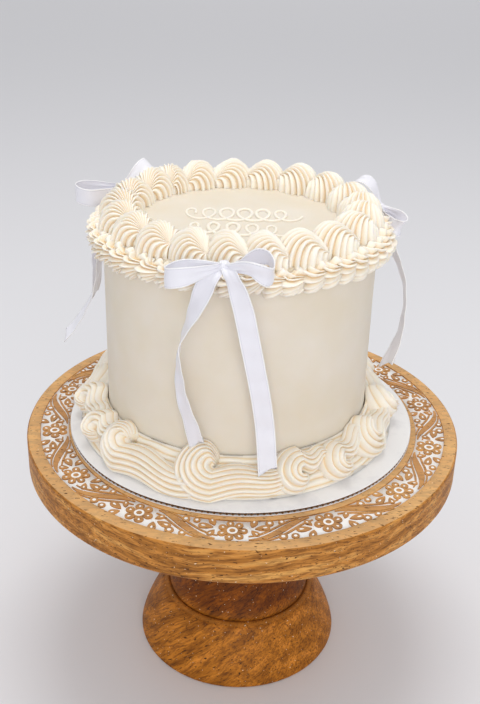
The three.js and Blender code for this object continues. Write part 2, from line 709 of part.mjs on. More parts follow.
const cake = new THREE.Group();
cake.add(
  meshFrom("stand_plate", carvedPlate(), MANGO_WOOD),
  meshFrom("stand_foot", turnedFoot(), DARK_MANGO_WOOD),
  meshFrom("cake_board", board(), WHITE_BOARD),
  meshFrom("cake_body", cakeBody(), PALE_CREAM),
  meshFrom("top_border", topBorder(), CREAM),
  meshFrom("edge_border", edgeBorder(), CREAM),
  meshFrom("base_border", baseBorder(), CREAM),
  meshFrom("bow_front", bow(FRONT_BOW), SATIN),
  meshFrom("bow_right", bow(RIGHT_BOW), SATIN),
  meshFrom("bow_back_left", bow(BACK_LEFT_BOW), SATIN),
);

export default cake;
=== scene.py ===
"""Round cream cake with piped borders and satin bows, on its board and carved, turned stand.

Lengths in this file are millimetres and angles are degrees, unless a docstring says otherwise. A mesh
is written in metres.
"""
import logging
import math
from dataclasses import dataclass, field, replace
from enum import Enum
from typing import Any, Sequence

import bpy
import numpy as np
from mathutils import Matrix, Vector


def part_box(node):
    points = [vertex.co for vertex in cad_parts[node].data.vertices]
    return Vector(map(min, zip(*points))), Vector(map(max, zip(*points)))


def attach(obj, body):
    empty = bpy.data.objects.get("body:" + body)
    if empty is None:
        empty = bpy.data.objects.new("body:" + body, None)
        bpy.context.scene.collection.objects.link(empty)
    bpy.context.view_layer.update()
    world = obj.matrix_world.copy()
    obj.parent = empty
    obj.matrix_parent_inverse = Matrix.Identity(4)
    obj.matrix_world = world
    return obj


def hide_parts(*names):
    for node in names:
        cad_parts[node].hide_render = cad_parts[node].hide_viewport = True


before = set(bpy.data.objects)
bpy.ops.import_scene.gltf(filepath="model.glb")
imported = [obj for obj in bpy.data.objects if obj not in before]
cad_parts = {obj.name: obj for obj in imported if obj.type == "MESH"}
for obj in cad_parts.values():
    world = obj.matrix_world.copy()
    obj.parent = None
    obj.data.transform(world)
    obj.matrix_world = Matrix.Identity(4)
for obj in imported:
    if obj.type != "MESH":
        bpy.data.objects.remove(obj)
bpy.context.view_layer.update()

MM = 0.001
CLEARANCE = 0.3
UP = np.array([0.0, 0.0, 1.0])
LOG = logging.getLogger("cake")


class Slot(Enum):
    """Names of material slots."""

    WOOD = "mango_wood"
    DARK_WOOD = "dark_mango_wood"
    BOARD = "white_board"
    PALE_CREAM = "pale_cream"
    CREAM = "cream"
    RIBBON = "satin_ribbon"


class Curl(Enum):
    """Way that a scroll of the base border curls."""

    IN = 1
    OUT = -1


class Way(Enum):
    """Way round the cake, seen from above."""

    COUNTER = 1
    CLOCKWISE = -1


# Numbers and directions


def smoothstep(low: float, high: float, value: np.ndarray | float) -> np.ndarray:
    """Share from 0 at low to 1 at high, eased at both ends."""
    share = np.clip((np.asarray(value, float) - low) / (high - low), 0, 1)
    return share * share * (3 - 2 * share)


def mix(low: Any, high: Any, share: Any) -> Any:
    """Value between low and high at a share from 0 to 1."""
    return low + (high - low) * share


def unit(vectors: np.ndarray) -> np.ndarray:
    """Vectors scaled to length 1."""
    return vectors / np.maximum(np.linalg.norm(vectors, axis=-1, keepdims=True), 1e-12)


def outward_at(degrees: np.ndarray | float) -> np.ndarray:
    """Level direction away from the axis at an angle."""
    turn = np.radians(degrees)
    return np.stack([np.cos(turn), np.sin(turn), np.zeros_like(turn)], axis=-1)


def tangent_at(degrees: np.ndarray | float) -> np.ndarray:
    """Level direction counter-clockwise round the axis at an angle."""
    turn = np.radians(degrees)
    return np.stack([-np.sin(turn), np.cos(turn), np.zeros_like(turn)], axis=-1)


def turned_about(vectors: np.ndarray, axis: np.ndarray, degrees: np.ndarray | float) -> np.ndarray:
    """Vectors turned about an axis through the origin.

    Args:
        vectors: Rows of vectors, or one.
        axis: Axis of the turn, of any length.
        degrees: Angle, one for all rows or one for each.

    Returns:
        The turned vectors.
    """
    axis = unit(np.asarray(axis, float))
    angle = np.radians(np.asarray(degrees, float))[..., None]
    along = (vectors @ axis)[..., None] * axis
    return along + (vectors - along) * np.cos(angle) + np.cross(axis, vectors) * np.sin(angle)


@dataclass(frozen=True)
class Round:
    """A round body's place and size, read from the frame."""

    centre: np.ndarray
    radius: float
    bottom: float
    top: float

    @classmethod
    def of(cls, node: str) -> "Round":
        """Measures a node of the frame.

        Args:
            node: Name of the node.

        Returns:
            Its place and size.
        """
        low, high = (np.array(corner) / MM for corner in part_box(node))
        middle = (low + high) / 2
        return cls(np.array([middle[0], middle[1], 0.0]), (high[0] - low[0]) / 2, low[2], high[2])

    def at(self, degrees: np.ndarray | float, radius: Any, height: Any) -> np.ndarray:
        """Points at an angle, distance from this body's axis and height."""
        radius = np.asarray(radius, float)[..., None]
        return self.centre + outward_at(degrees) * radius + UP * np.asarray(height, float)[..., None]


# Meshes


@dataclass
class Skin:
    """A closed surface: points, faces and named numbers for each point."""

    points: np.ndarray
    faces: list[tuple[int, ...]]
    marks: dict[str, np.ndarray] = field(default_factory=dict)

    def volume(self) -> float:
        """Measures what the faces enclose.

        Returns:
            Six times the volume, below 0 where the faces look inwards.
        """
        centre = self.points.mean(axis=0)
        total = 0.0
        for size in sorted({len(face) for face in self.faces}):
            corners = self.points[np.array([face for face in self.faces if len(face) == size])] - centre
            for k in range(1, size - 1):
                total += np.einsum("ij,ij->", corners[:, 0], np.cross(corners[:, k], corners[:, k + 1]))
        return total


def joined(skins: Sequence[Skin]) -> Skin:
    """Joins skins into one, in which each is still closed by itself.

    Args:
        skins: Skins with the same marks.

    Returns:
        The joint skin.
    """
    points, faces, start = [], [], 0
    for skin in skins:
        points.append(skin.points)
        faces.extend(tuple(i + start for i in face) for face in skin.faces)
        start += len(skin.points)
    names = skins[0].marks.keys()
    marks = {name: np.concatenate([skin.marks[name] for skin in skins]) for name in names}
    return Skin(np.concatenate(points), faces, marks)


def lofted(rings: np.ndarray, marks: dict[str, np.ndarray] | None = None, looped: bool = False) -> Skin:
    """Skin over rows of closed rings.

    Args:
        rings: Points as rows, points in a row, x y z.
        marks: Numbers for each point, as rows and points in a row.
        looped: Joins the last row to the first. Otherwise each end is closed by a fan.

    Returns:
        The closed skin.
    """
    rows, width = rings.shape[:2]
    index = np.arange(rows * width).reshape(rows, width)
    following = np.roll(index, -1, axis=0)
    quads = np.stack(
        [index, np.roll(index, -1, axis=1), np.roll(following, -1, axis=1), following], axis=-1
    )
    quads = quads if looped else quads[:-1]
    faces = [tuple(face) for face in quads.reshape(-1, 4).tolist()]
    points = rings.reshape(-1, 3)
    numbers = {name: values.reshape(-1) for name, values in (marks or {}).items()}
    if not looped:
        ends = np.stack([rings[0].mean(axis=0), rings[-1].mean(axis=0)])
        first, last = len(points), len(points) + 1
        points = np.concatenate([points, ends])
        for i in range(width):
            following_i = (i + 1) % width
            faces.append((first, following_i, i))
            faces.append((last, index[-1, i], index[-1, following_i]))
        numbers = {
            name: np.append(values, [values[:width].mean(), values[-width:].mean()])
            for name, values in numbers.items()
        }
    return Skin(points, faces, numbers)


def lathed(
    outline: Sequence[tuple[float, float]], segments: int, centre: np.ndarray, wobble: float = 0
) -> Skin:
    """A turned body.

    Args:
        outline: Radius and height pairs from the axis below to the axis above.
        segments: Steps round the axis.
        centre: A point on the axis.
        wobble: Largest unevenness of the radius.

    Returns:
        The closed skin.
    """
    radius, height = np.array(outline, float).T
    turn = np.linspace(0, 360, segments, endpoint=False)
    uneven = wobble * (np.sin(np.radians(2 * turn + 40)) + 0.6 * np.sin(np.radians(5 * turn))) / 1.6
    reach = radius[1:-1, None] + uneven[None, :]
    rings = centre + outward_at(turn)[None] * reach[..., None] + UP * height[1:-1, None, None]
    skin = lofted(rings)
    skin.points[-2] = centre + UP * height[0]
    skin.points[-1] = centre + UP * height[-1]
    return skin


def rounded_corner(
    radius: float, height: float, size: float, steps: int, top: bool
) -> list[tuple[float, float]]:
    """Quarter-round between a wall and a level face of a turned outline.

    Args:
        radius: Radius of the wall.
        height: Height of the level face.
        size: Radius of the rounding.
        steps: Steps of the arc.
        top: True for a top edge, False for a bottom edge.

    Returns:
        Outline points, upwards.
    """
    turns = np.linspace(0, math.pi / 2, steps + 1)
    out = radius - size * (1 - np.cos(turns))
    if top:
        return list(zip(out, height - size * (1 - np.sin(turns))))
    return list(zip(out, height + size * (1 - np.sin(turns))))[::-1]


def write_piece(
    name: str, skin: Skin, material: bpy.types.Material, slot: Slot, node: str, smooth: bool = True
) -> bpy.types.Object:
    """Writes a skin as a Blender object that rides on the frame.

    Args:
        name: Piece name.
        skin: Its surface.
        material: Its finish.
        slot: Material slot; not used.
        node: Node of the frame that the piece stands for.
        smooth: Shades across edges.

    Returns:
        The new object.
    """
    mesh = bpy.data.meshes.new(name)
    mesh.from_pydata((skin.points * MM).tolist(), [], skin.faces)
    mesh.validate()
    for mark, values in skin.marks.items():
        mesh.attributes.new(mark, "FLOAT", "POINT").data.foreach_set("value", values.astype(np.float32))
    mesh.polygons.foreach_set("use_smooth", [smooth] * len(mesh.polygons))
    mesh.materials.append(material)
    if skin.volume() < 0:
        mesh.flip_normals()
    mesh.update()
    piece = bpy.data.objects.new(name, mesh)
    bpy.context.scene.collection.objects.link(piece)
    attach(piece, "root")
    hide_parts(node)
    return piece


# Materials


def linear(code: str) -> tuple[float, float, float, float]:
    """Linear colour with alpha 1 from an sRGB hex code such as f6ecd9."""
    parts = [int(code[i : i + 2], 16) / 255 for i in (0, 2, 4)]
    return (*(p / 12.92 if p <= 0.04045 else ((p + 0.055) / 1.055) ** 2.4 for p in parts), 1.0)


def per(size: float) -> float:
    """Scale of a noise whose features are about a size in millimetres."""
    return 1 / (size * MM)


class Surface:
    """A material under way: nodes are added to it, and its shader comes last."""

    def __init__(self, name: str) -> None:
        """Starts a material that has only its place on the object, in metres.

        Args:
            name: Material name.
        """
        self.material = bpy.data.materials.new(name)
        self.material.use_nodes = True
        self.tree = self.material.node_tree
        self.tree.nodes.clear()
        self.place = self.add("TexCoord", {}, "Object")

    def add(self, kind: str, values: dict[Any, Any], output: int | str = 0) -> Any:
        """Adds a node with its settings and links.

        Args:
            kind: Node type without the word ShaderNode.
            values: What each input or property gets, by its name or by the input's number. It is a
                number, a hex colour code, an output socket to link, or stops for a ramp.
            output: Name or number of the wanted output.

        Returns:
            That output socket, or nothing for a node without outputs.
        """
        node = self.tree.nodes.new("ShaderNode" + kind)
        for name, value in values.items():
            if name == "stops":
                elements = node.color_ramp.elements
                while len(elements) < len(value):
                    elements.new(1.0)
                for element, (position, code) in zip(elements, value):
                    element.position = position
                    element.color = linear(code)
            elif isinstance(name, str) and name not in node.inputs:
                setattr(node, name, value)
            elif isinstance(value, bpy.types.NodeSocket):
                self.tree.links.new(value, node.inputs[name])
            else:
                node.inputs[name].default_value = linear(value) if isinstance(value, str) else value
        return node.outputs[output] if len(node.outputs) else None

    def finished(self, values: dict[str, Any]) -> bpy.types.Material:
        """The material, once its shader has these values."""
        self.add("OutputMaterial", {"Surface": self.add("BsdfPrincipled", values)})
        return self.material


@dataclass(frozen=True)
class PipedButtercream:
    """Whipped butter and sugar pushed through a star nozzle.

    The colour carries painted light: the crests are painted white as lit tops, and the grooves a warm
    yellow as painted shade and bounce light. The surface is soft-glossy with fine air pits.
    """

    name: str = "piped_buttercream"
    # The white crest and the yellow groove are painted light and painted shade.
    crest: str = "fbf5eb"
    flank: str = "f8ecd9"
    groove: str = "f0d5ac"
    roughness: float = 0.46
    patch: float = 9
    pit: float = 0.9
    depth_of_light: float = 1.2

    def build(self) -> bpy.types.Material:
        """Builds the material, which reads the crest mark of the mesh.

        Returns:
            The material.
        """
        surface = Surface(self.name)
        add, place = surface.add, surface.place
        crest = add("Attribute", {"attribute_name": "crest"}, "Fac")
        patchy = add("TexNoise", {"Vector": place, "Scale": per(self.patch), "Detail": 3})
        uneven = add("Math", {"operation": "MULTIPLY_ADD", 0: patchy, 1: 0.1, 2: -0.05})
        shade = add("Math", {"operation": "ADD", 0: crest, 1: uneven})
        pits = add("TexNoise", {"Vector": place, "Scale": per(self.pit), "Detail": 4, "Roughness": 0.6})
        low, high = self.roughness - 0.06, self.roughness + 0.1
        return surface.finished({
            # Painted light and shade: white on the crests, warm yellow in the grooves.
            "Base Color": add("ValToRGB", {
                "Fac": shade, "stops": [(0.03, self.groove), (0.36, self.flank), (0.85, self.crest)],
            }),
            "Roughness": add("MapRange", {"Value": pits, "To Min": low, "To Max": high}),
            "Normal": add("Bump", {"Height": pits, "Strength": 0.22, "Distance": 0.12 * MM}),
            "IOR": 1.46,
            "Subsurface Weight": 0.2,
            "Subsurface Radius": (1.0, 0.8, 0.55),
            "Subsurface Scale": self.depth_of_light * MM,
        })


@dataclass(frozen=True)
class SmoothedButtercream:
    """Buttercream scraped flat with a bench scraper.

    The scraper leaves faint level drag lines and a few closed air pits, and the fat gives a matt
    surface with a very soft sheen.
    """

    name: str = "smoothed_buttercream"
    light: str = "e8e0d4"
    shade: str = "e4dac8"
    roughness: float = 0.55
    cloud: float = 26
    drag_line: float = 1.6
    grit: float = 0.8
    depth_of_light: float = 2

    def build(self) -> bpy.types.Material:
        """Builds the material for wall and top.

        Returns:
            The material.
        """
        surface = Surface(self.name)
        add, place = surface.add, surface.place
        cloudy = add("TexNoise", {"Vector": place, "Scale": per(self.cloud), "Detail": 3})
        level = add("Mapping", {"Vector": place, "Scale": (0.12, 0.12, 1.0)})
        drag = add("TexNoise", {"Vector": level, "Scale": per(self.drag_line), "Detail": 4, "Roughness": 0.6})
        grit = add("TexNoise", {"Vector": place, "Scale": per(self.grit), "Detail": 3, "Roughness": 0.6})
        relief = add("Math", {"operation": "MULTIPLY_ADD", 0: grit, 1: 0.5, 2: drag})
        return surface.finished({
            "Base Color": add("ValToRGB", {"Fac": cloudy, "stops": [(0.3, self.shade), (0.7, self.light)]}),
            "Normal": add("Bump", {"Height": relief, "Strength": 0.3, "Distance": 0.1 * MM}),
            "Roughness": self.roughness,
            "IOR": 1.45,
            "Subsurface Weight": 0.25,
            "Subsurface Radius": (1.0, 0.75, 0.5),
            "Subsurface Scale": self.depth_of_light * MM,
        })


@dataclass(frozen=True)
class PolyesterSatin:
    """Narrow single-face polyester satin with a woven edge on each side.

    Long floats along the ribbon give a broad soft highlight across it, and the edge is a denser
    cord with a dotted line of binding stitches. The weave is drawn coarser than real so that it shows.
    """

    name: str = "white_satin_ribbon"
    face: str = "eeeef7"
    edge: str = "fbfbff"
    stitch: str = "cdcedd"
    cord_from: float = 0.84
    stitch_pitch: float = 1.1
    threads: float = 60
    slub: float = 2.5

    def build(self) -> bpy.types.Material:
        """Builds the material, which reads the across and run marks.

        Returns:
            The material.
        """
        surface = Surface(self.name)
        add = surface.add
        across, run = (add("Attribute", {"attribute_name": mark}, "Fac") for mark in ("across", "run"))
        side = add("Math", {"operation": "ABSOLUTE", 0: across})
        bounds = {"From Min": self.cord_from, "From Max": self.cord_from + 0.06}
        cord = add("MapRange", {"Value": side, **bounds, "interpolation_type": "SMOOTHSTEP"})
        line = add("Math", {"operation": "COMPARE", 0: side, 1: self.cord_from, 2: 0.035})
        beat = add("Math", {"operation": "MULTIPLY", 0: run, 1: 2 * math.pi / self.stitch_pitch})
        dots = add("Math", {"operation": "SINE", 0: beat})
        dotted = add("Math", {"operation": "GREATER_THAN", 0: dots, 1: -0.1})
        stitches = add("Math", {"operation": "MULTIPLY", 0: line, 1: dotted})
        plain = add("Mix", {"data_type": "RGBA", 0: cord, 6: self.face, 7: self.edge}, 2)
        count = add("Math", {"operation": "MULTIPLY", 0: across, 1: self.threads})
        weave = add("Math", {"operation": "SINE", 0: count})
        slub = add("TexNoise", {"Vector": surface.place, "Scale": per(self.slub), "Detail": 3})
        woven = add("Math", {"operation": "MULTIPLY_ADD", 0: weave, 1: 0.3, 2: slub})
        relief = add("Math", {"operation": "MULTIPLY_ADD", 0: cord, 1: 1.4, 2: woven})
        return surface.finished({
            "Base Color": add("Mix", {"data_type": "RGBA", 0: stitches, 6: plain, 7: self.stitch}, 2),
            "Normal": add("Bump", {"Height": relief, "Strength": 0.25, "Distance": 0.12 * MM}),
            "Roughness": 0.3,
            "IOR": 1.5,
            "Sheen Weight": 0.2,
            "Sheen Roughness": 0.4,
        })


@dataclass(frozen=True)
class OiledMangoWood:
    """Turned and sanded mango wood, wiped with oil.

    Open pores run as short dark dashes along the grain, between wavy golden and brown bands. Faces
    that look up are mixed towards a paler top tint, so the top is lighter than the side. Pores and
    fibres are drawn a little coarser than real. The grain runs along X before the tilt, which is in
    radians, and stretch is its fineness along each axis.
    """

    name: str
    light: str
    middle: str
    dark: str
    pore: str
    top_tint: str
    # Darker colour multiplied in where the mesh marks it: partly oilier wood, partly painted shade.
    soak_and_shade: str = "ae9634"
    speck: str = "e6d3b4"
    fibre_shade: str = "6e5434"
    roughness: float = 0.5
    tilt: tuple[float, float, float] = (0.0, 0.0, 0.0)
    stretch: tuple[float, float, float] = (0.1, 0.35, 1.0)
    bend: float = 16
    bend_length: float = 62.5
    band_width: float = 7
    figure_size: float = 26
    pith: tuple[float, float, float] = (0, 50, 70)
    ring_width: float = 7
    ring_strength: float = 0.2
    fibre_width: float = 1.1
    pore_width: float = 0.9
    speck_size: float = 1.3

    def build(self) -> bpy.types.Material:
        """Builds the material, which a mark of the mesh darkens: partly darker oiled wood, partly painted
        shade.

        Returns:
            The material.
        """
        surface = Surface(self.name)
        add = surface.add
        place = add("Mapping", {"Vector": surface.place, "Rotation": self.tilt})
        warp = add("TexNoise", {"Vector": place, "Scale": per(self.bend_length), "Detail": 3}, "Color")
        bend = (self.bend * MM,) * 3
        bent = add("VectorMath", {"operation": "MULTIPLY_ADD", 0: warp, 1: bend, 2: place})
        along = add("Mapping", {"Vector": bent, "Scale": self.stretch})
        bands = add("TexNoise", {
            "Vector": along, "Scale": per(self.band_width), "Detail": 6, "Roughness": 0.6,
        })
        figure = add("TexNoise", {"Vector": bent, "Scale": per(self.figure_size), "Detail": 3})
        pith = add("Mapping", {"Vector": bent, "Location": tuple(size * MM for size in self.pith)})
        rings = add("TexWave", {
            "Vector": pith,
            "wave_type": "RINGS",
            "rings_direction": "X",
            # At scale 1 the rings are 0.314 m apart.
            "Scale": 0.314 * per(self.ring_width),
            "Distortion": 3,
            "Detail": 3,
            "Detail Scale": 1.2,
        }, "Fac")
        tone = add("Math", {"operation": "MULTIPLY_ADD", 0: figure, 1: 0.35, 2: bands})
        tone = add("Math", {"operation": "MULTIPLY_ADD", 0: rings, 1: self.ring_strength, 2: tone})
        grain = add("ValToRGB", {
            "Fac": tone, "stops": [(0.6, self.dark), (0.78, self.middle), (0.96, self.light)],
        })
        fibre = add("TexNoise", {
            "Vector": along, "Scale": per(self.fibre_width), "Detail": 4, "Roughness": 0.65,
        })
        streaks = add("ValToRGB", {"Fac": fibre, "stops": [(0.36, self.fibre_shade), (0.58, "ffffff")]})
        stain = add("Attribute", {"attribute_name": "stain"}, "Fac")
        dash = add("Mapping", {"Vector": place, "Scale": (0.28, 1.0, 1.0)})
        holes = add("TexNoise", {"Vector": dash, "Scale": per(self.pore_width)})
        crumbs = add("TexNoise", {"Vector": place, "Scale": per(self.speck_size), "Detail": 1})
        upright = add("SeparateXYZ", {0: add("NewGeometry", {}, "Normal")}, "Z")
        pores, specks, upward = (
            add("MapRange", {
                "Value": source, "From Min": level, "From Max": level + 0.06,
                "interpolation_type": "SMOOTHSTEP",
            })
            for source, level in ((holes, 0.635), (crumbs, 0.73), (upright, 0.8))
        )
        paler = add("Math", {"operation": "MULTIPLY", 0: upward, 1: 0.55})
        colour = grain
        for share, layer, blend in (
            (0.7, streaks, "MULTIPLY"),
            # Painted shade, with some darker oil, where the mesh marks it.
            (stain, self.soak_and_shade, "MULTIPLY"),
            (paler, self.top_tint, "MIX"),
            (pores, self.pore, "MIX"),
            (specks, self.speck, "MIX"),
        ):
            colour = add("Mix", {"data_type": "RGBA", "blend_type": blend, 0: share, 6: colour, 7: layer}, 2)
        relief = add("Math", {"operation": "MULTIPLY_ADD", 0: pores, 1: -1.5, 2: fibre})
        low, high = self.roughness - 0.08, self.roughness + 0.14
        return surface.finished({
            "Base Color": colour,
            "Roughness": add("MapRange", {"Value": fibre, "To Min": low, "To Max": high}),
            "Normal": add("Bump", {"Height": relief, "Strength": 0.35, "Distance": 0.15 * MM}),
            "IOR": 1.5,
            # The oil has sunk in, so the open grain keeps only part of a varnish's shine.
            "Specular IOR Level": 0.2,
        })


@dataclass(frozen=True)
class BrushedWhitewash:
    """Chalky white paint brushed into the carved ground and wiped off the raised wood.

    It is matt, a little thin in places, with grey wear where the wood grins through.
    """

    name: str = "brushed_whitewash"
    paint: str = "f6f5f4"
    thin: str = "dcd6d2"
    wear: float = 3.5
    grit: float = 0.6

    def build(self) -> bpy.types.Material:
        """Builds the material of the carved ground and the inlaid dots.

        Returns:
            The material.
        """
        surface = Surface(self.name)
        add, place = surface.add, surface.place
        wear = add("TexNoise", {"Vector": place, "Scale": per(self.wear), "Detail": 5, "Roughness": 0.65})
        grit = add("TexNoise", {"Vector": place, "Scale": per(self.grit), "Detail": 3, "Roughness": 0.6})
        return surface.finished({
            "Base Color": add("ValToRGB", {"Fac": wear, "stops": [(0.28, self.thin), (0.42, self.paint)]}),
            "Normal": add("Bump", {"Height": grit, "Strength": 0.4, "Distance": 0.12 * MM}),
            "Roughness": 0.75,
            "IOR": 1.5,
        })


@dataclass(frozen=True)
class CoatedPaper:
    """Grease-proof coated paper: smooth, cool white, with a faint gloss and a few soft marks."""

    name: str = "coated_white_paper"
    paper: str = "f0f0f2"
    mark: str = "e4e4e8"
    mark_size: float = 15
    fibre: float = 1.2

    def build(self) -> bpy.types.Material:
        """Builds the material of the board's faces.

        Returns:
            The material.
        """
        surface = Surface(self.name)
        add, place = surface.add, surface.place
        marks = add("TexNoise", {
            "Vector": place, "Scale": per(self.mark_size), "Detail": 5, "Roughness": 0.6,
        })
        fibre = add("TexNoise", {"Vector": place, "Scale": per(self.fibre), "Detail": 3})
        return surface.finished({
            "Base Color": add("ValToRGB", {"Fac": marks, "stops": [(0.3, self.mark), (0.5, self.paper)]}),
            "Normal": add("Bump", {"Height": fibre, "Strength": 0.12, "Distance": 0.05 * MM}),
            "Roughness": 0.42,
            "IOR": 1.5,
        })


@dataclass(frozen=True)
class KraftFluting:
    """Brown kraft paper between the board's faces, die-cut: dry and fibrous, with painted shadow in the
    hollows.
    """

    name: str = "kraft_fluting"
    paper: str = "8a6239"
    # Painted shadow of the gaps between the flutes, given to the core behind them.
    hollow: str = "2e1c10"
    fibre: float = 0.9

    def build(self) -> bpy.types.Material:
        """Builds the material, which reads the crest mark of the mesh.

        Returns:
            The material.
        """
        surface = Surface(self.name)
        add = surface.add
        crest = add("Attribute", {"attribute_name": "crest"}, "Fac")
        fibre = add(
            "TexNoise", {"Vector": surface.place, "Scale": per(self.fibre), "Detail": 4, "Roughness": 0.6}
        )
        shade = add("Math", {"operation": "MULTIPLY", 0: crest, 1: fibre})
        return surface.finished({
            "Base Color": add("ValToRGB", {"Fac": shade, "stops": [(0.05, self.hollow), (0.55, self.paper)]}),
            "Normal": add("Bump", {"Height": fibre, "Strength": 0.5, "Distance": 0.2 * MM}),
            "Roughness": 0.85,
        })


# Piping


def grooved(phase: np.ndarray, sharpness: float) -> np.ndarray:
    """0 on crests, at whole phases, and 1 in the grooves between, which a small sharpness narrows."""
    return 1 - np.abs(np.cos(math.pi * phase)) ** sharpness


def uneven_ridges(
    place: np.ndarray, ridges: int, spread: float, draw: np.random.Generator
) -> tuple[np.ndarray, np.ndarray]:
    """Draws each ridge's own height and the phase of its waves.

    Args:
        place: Place across the ridges, counted in ridges.
        ridges: Number of ridges.
        spread: Standard deviation of the heights.
        draw: Seeded stream of random numbers.

    Returns:
        Height and phase at each place.
    """
    stations = np.arange(ridges + 1)
    own = np.interp(place, stations, draw.normal(0, spread, ridges + 1))
    phase = np.interp(place, stations, draw.uniform(0, 2 * math.pi, ridges + 1))
    return own, phase


@dataclass(frozen=True)
class PipedShell:
    """One piped shell: ridges rise upright round its foot and run over it to meet at the tail.

    The head lies behind the origin and the tail in front of it. The ridges meet at a share of the
    tail's length and of the half width, and swirl bends them on the way, in radians. overhang is the
    share of a ridge's width by which its crest leans over the groove below. A squareness of 2 gives
    a round foot, and a small sharpness gives narrow grooves.
    """

    back: float
    front: float
    up: float
    down: float
    half_width: float
    ridges: int
    depth: float
    meeting: float
    meeting_aside: float = 0.0
    swirl: float = 0.0
    tail_drop: float = 0.35
    squareness: float = 2.0
    sharpness: float = 1.3
    overhang: float = 0.3
    both_sides: bool = True
    twist: float = 0.0
    size: float = 1.0
    samples_per_ridge: int = 8
    steps_up: int = 34
    last_climb: float = 0.97
    unevenness: float = 0.3
    wave_share: float = 0.35
    torn: float = 0.06

    def skin(
        self, axes: tuple[np.ndarray, np.ndarray, np.ndarray, np.ndarray], draw: np.random.Generator
    ) -> Skin:
        """The shell as a closed skin.

        Args:
            axes: Origin, then the directions of the tail, of the width and of the height.
            draw: Seeded stream of random numbers.

        Returns:
            The skin, marked 1 on crests and 0 in grooves.
        """
        turn = np.linspace(-math.pi, math.pi, self.ridges * self.samples_per_ridge, endpoint=False)[None, :]
        climb = np.linspace(0, self.last_climb, self.steps_up)[:, None]
        place = self.ridges * (turn + math.pi) / (2 * math.pi)
        groove = grooved(place, self.sharpness)
        downward = np.sin(turn) if self.both_sides else -np.cos(turn)
        lean = self.overhang * 2 * math.pi / self.ridges * np.cos(math.pi * place) ** 2
        slid = turn + lean * downward
        power = self.squareness
        bulge = (np.abs(np.cos(slid)) ** power + np.abs(np.sin(slid)) ** power) ** (-1 / power)
        length = np.where(np.cos(slid) > 0, self.back, self.front)
        # Each ridge is a line from the foot's outline to the pole where all ridges meet.
        toward = 1 - np.cos(climb * math.pi / 2)
        pole = (self.meeting * self.front, self.meeting_aside * self.half_width)
        reach = (-length * np.cos(slid) * bulge - pole[0], self.half_width * np.sin(slid) * bulge - pole[1])
        spun = self.swirl * toward
        ahead = pole[0] + (1 - toward) * (reach[0] * np.cos(spun) - reach[1] * np.sin(spun))
        aside = pole[1] + (1 - toward) * (reach[0] * np.sin(spun) + reach[1] * np.cos(spun))
        share = np.where(ahead < 0, -ahead / self.back, ahead / self.front)
        inside = 1 - np.abs(share) ** power - np.abs(aside / self.half_width) ** power
        crown = self.up * (1 - self.tail_drop * smoothstep(0, 1, ahead / self.front))
        points = np.stack([ahead, aside, crown * np.maximum(inside, 0) ** (1 / power)], axis=2)
        out = unit(np.cross(np.gradient(points, axis=0), np.gradient(points, axis=1)) + 1e-9 * UP)
        own, phase = uneven_ridges(place, self.ridges, self.unevenness, draw)
        ripple = np.sin(5 * climb + phase) + 0.7 * np.sin(13 * climb + 2 * phase)
        waves = self.wave_share * self.unevenness * ripple
        torn = draw.normal(0, self.torn, (self.steps_up, turn.shape[1])) * (1 - groove)
        narrow = np.minimum(1, 1.5 * (1 - toward))
        out_by = (own + waves + torn - self.depth * groove) * narrow
        points = self.size * (points + out_by[..., None] * out)
        points[..., 1] += self.twist * points[..., 0]
        foot = points[:1] * (1, 1, 0) - (0, 0, self.down)
        points = np.concatenate([foot, points])
        origin, forward, across, upward = axes
        rings = origin + points[..., :1] * forward + points[..., 1:2] * across + points[..., 2:] * upward
        return lofted(rings, {"crest": (1 - groove) * np.ones((self.steps_up + 1, 1))})


@dataclass
class ShellRow:
    """A row of shells round the cake. table is the height of the cake's top."""

    cake: Round
    table: float
    piece: str
    node: str
    shells_a_piece: int

    def skins(self) -> list[Skin]:
        """One skin for each shell, in order round the cake."""
        raise NotImplementedError

    def build(self, cream: bpy.types.Material) -> list[bpy.types.Object]:
        """Writes the row in pieces of some shells.

        Args:
            cream: Finish of the shells.

        Returns:
            The pieces.
        """
        skins = self.skins()
        starts = range(0, len(skins), self.shells_a_piece)
        groups = [joined(skins[start : start + self.shells_a_piece]) for start in starts]
        return [
            write_piece(f"{self.piece}_{number}", group, cream, Slot.CREAM, self.node)
            for number, group in enumerate(groups, 1)
        ]


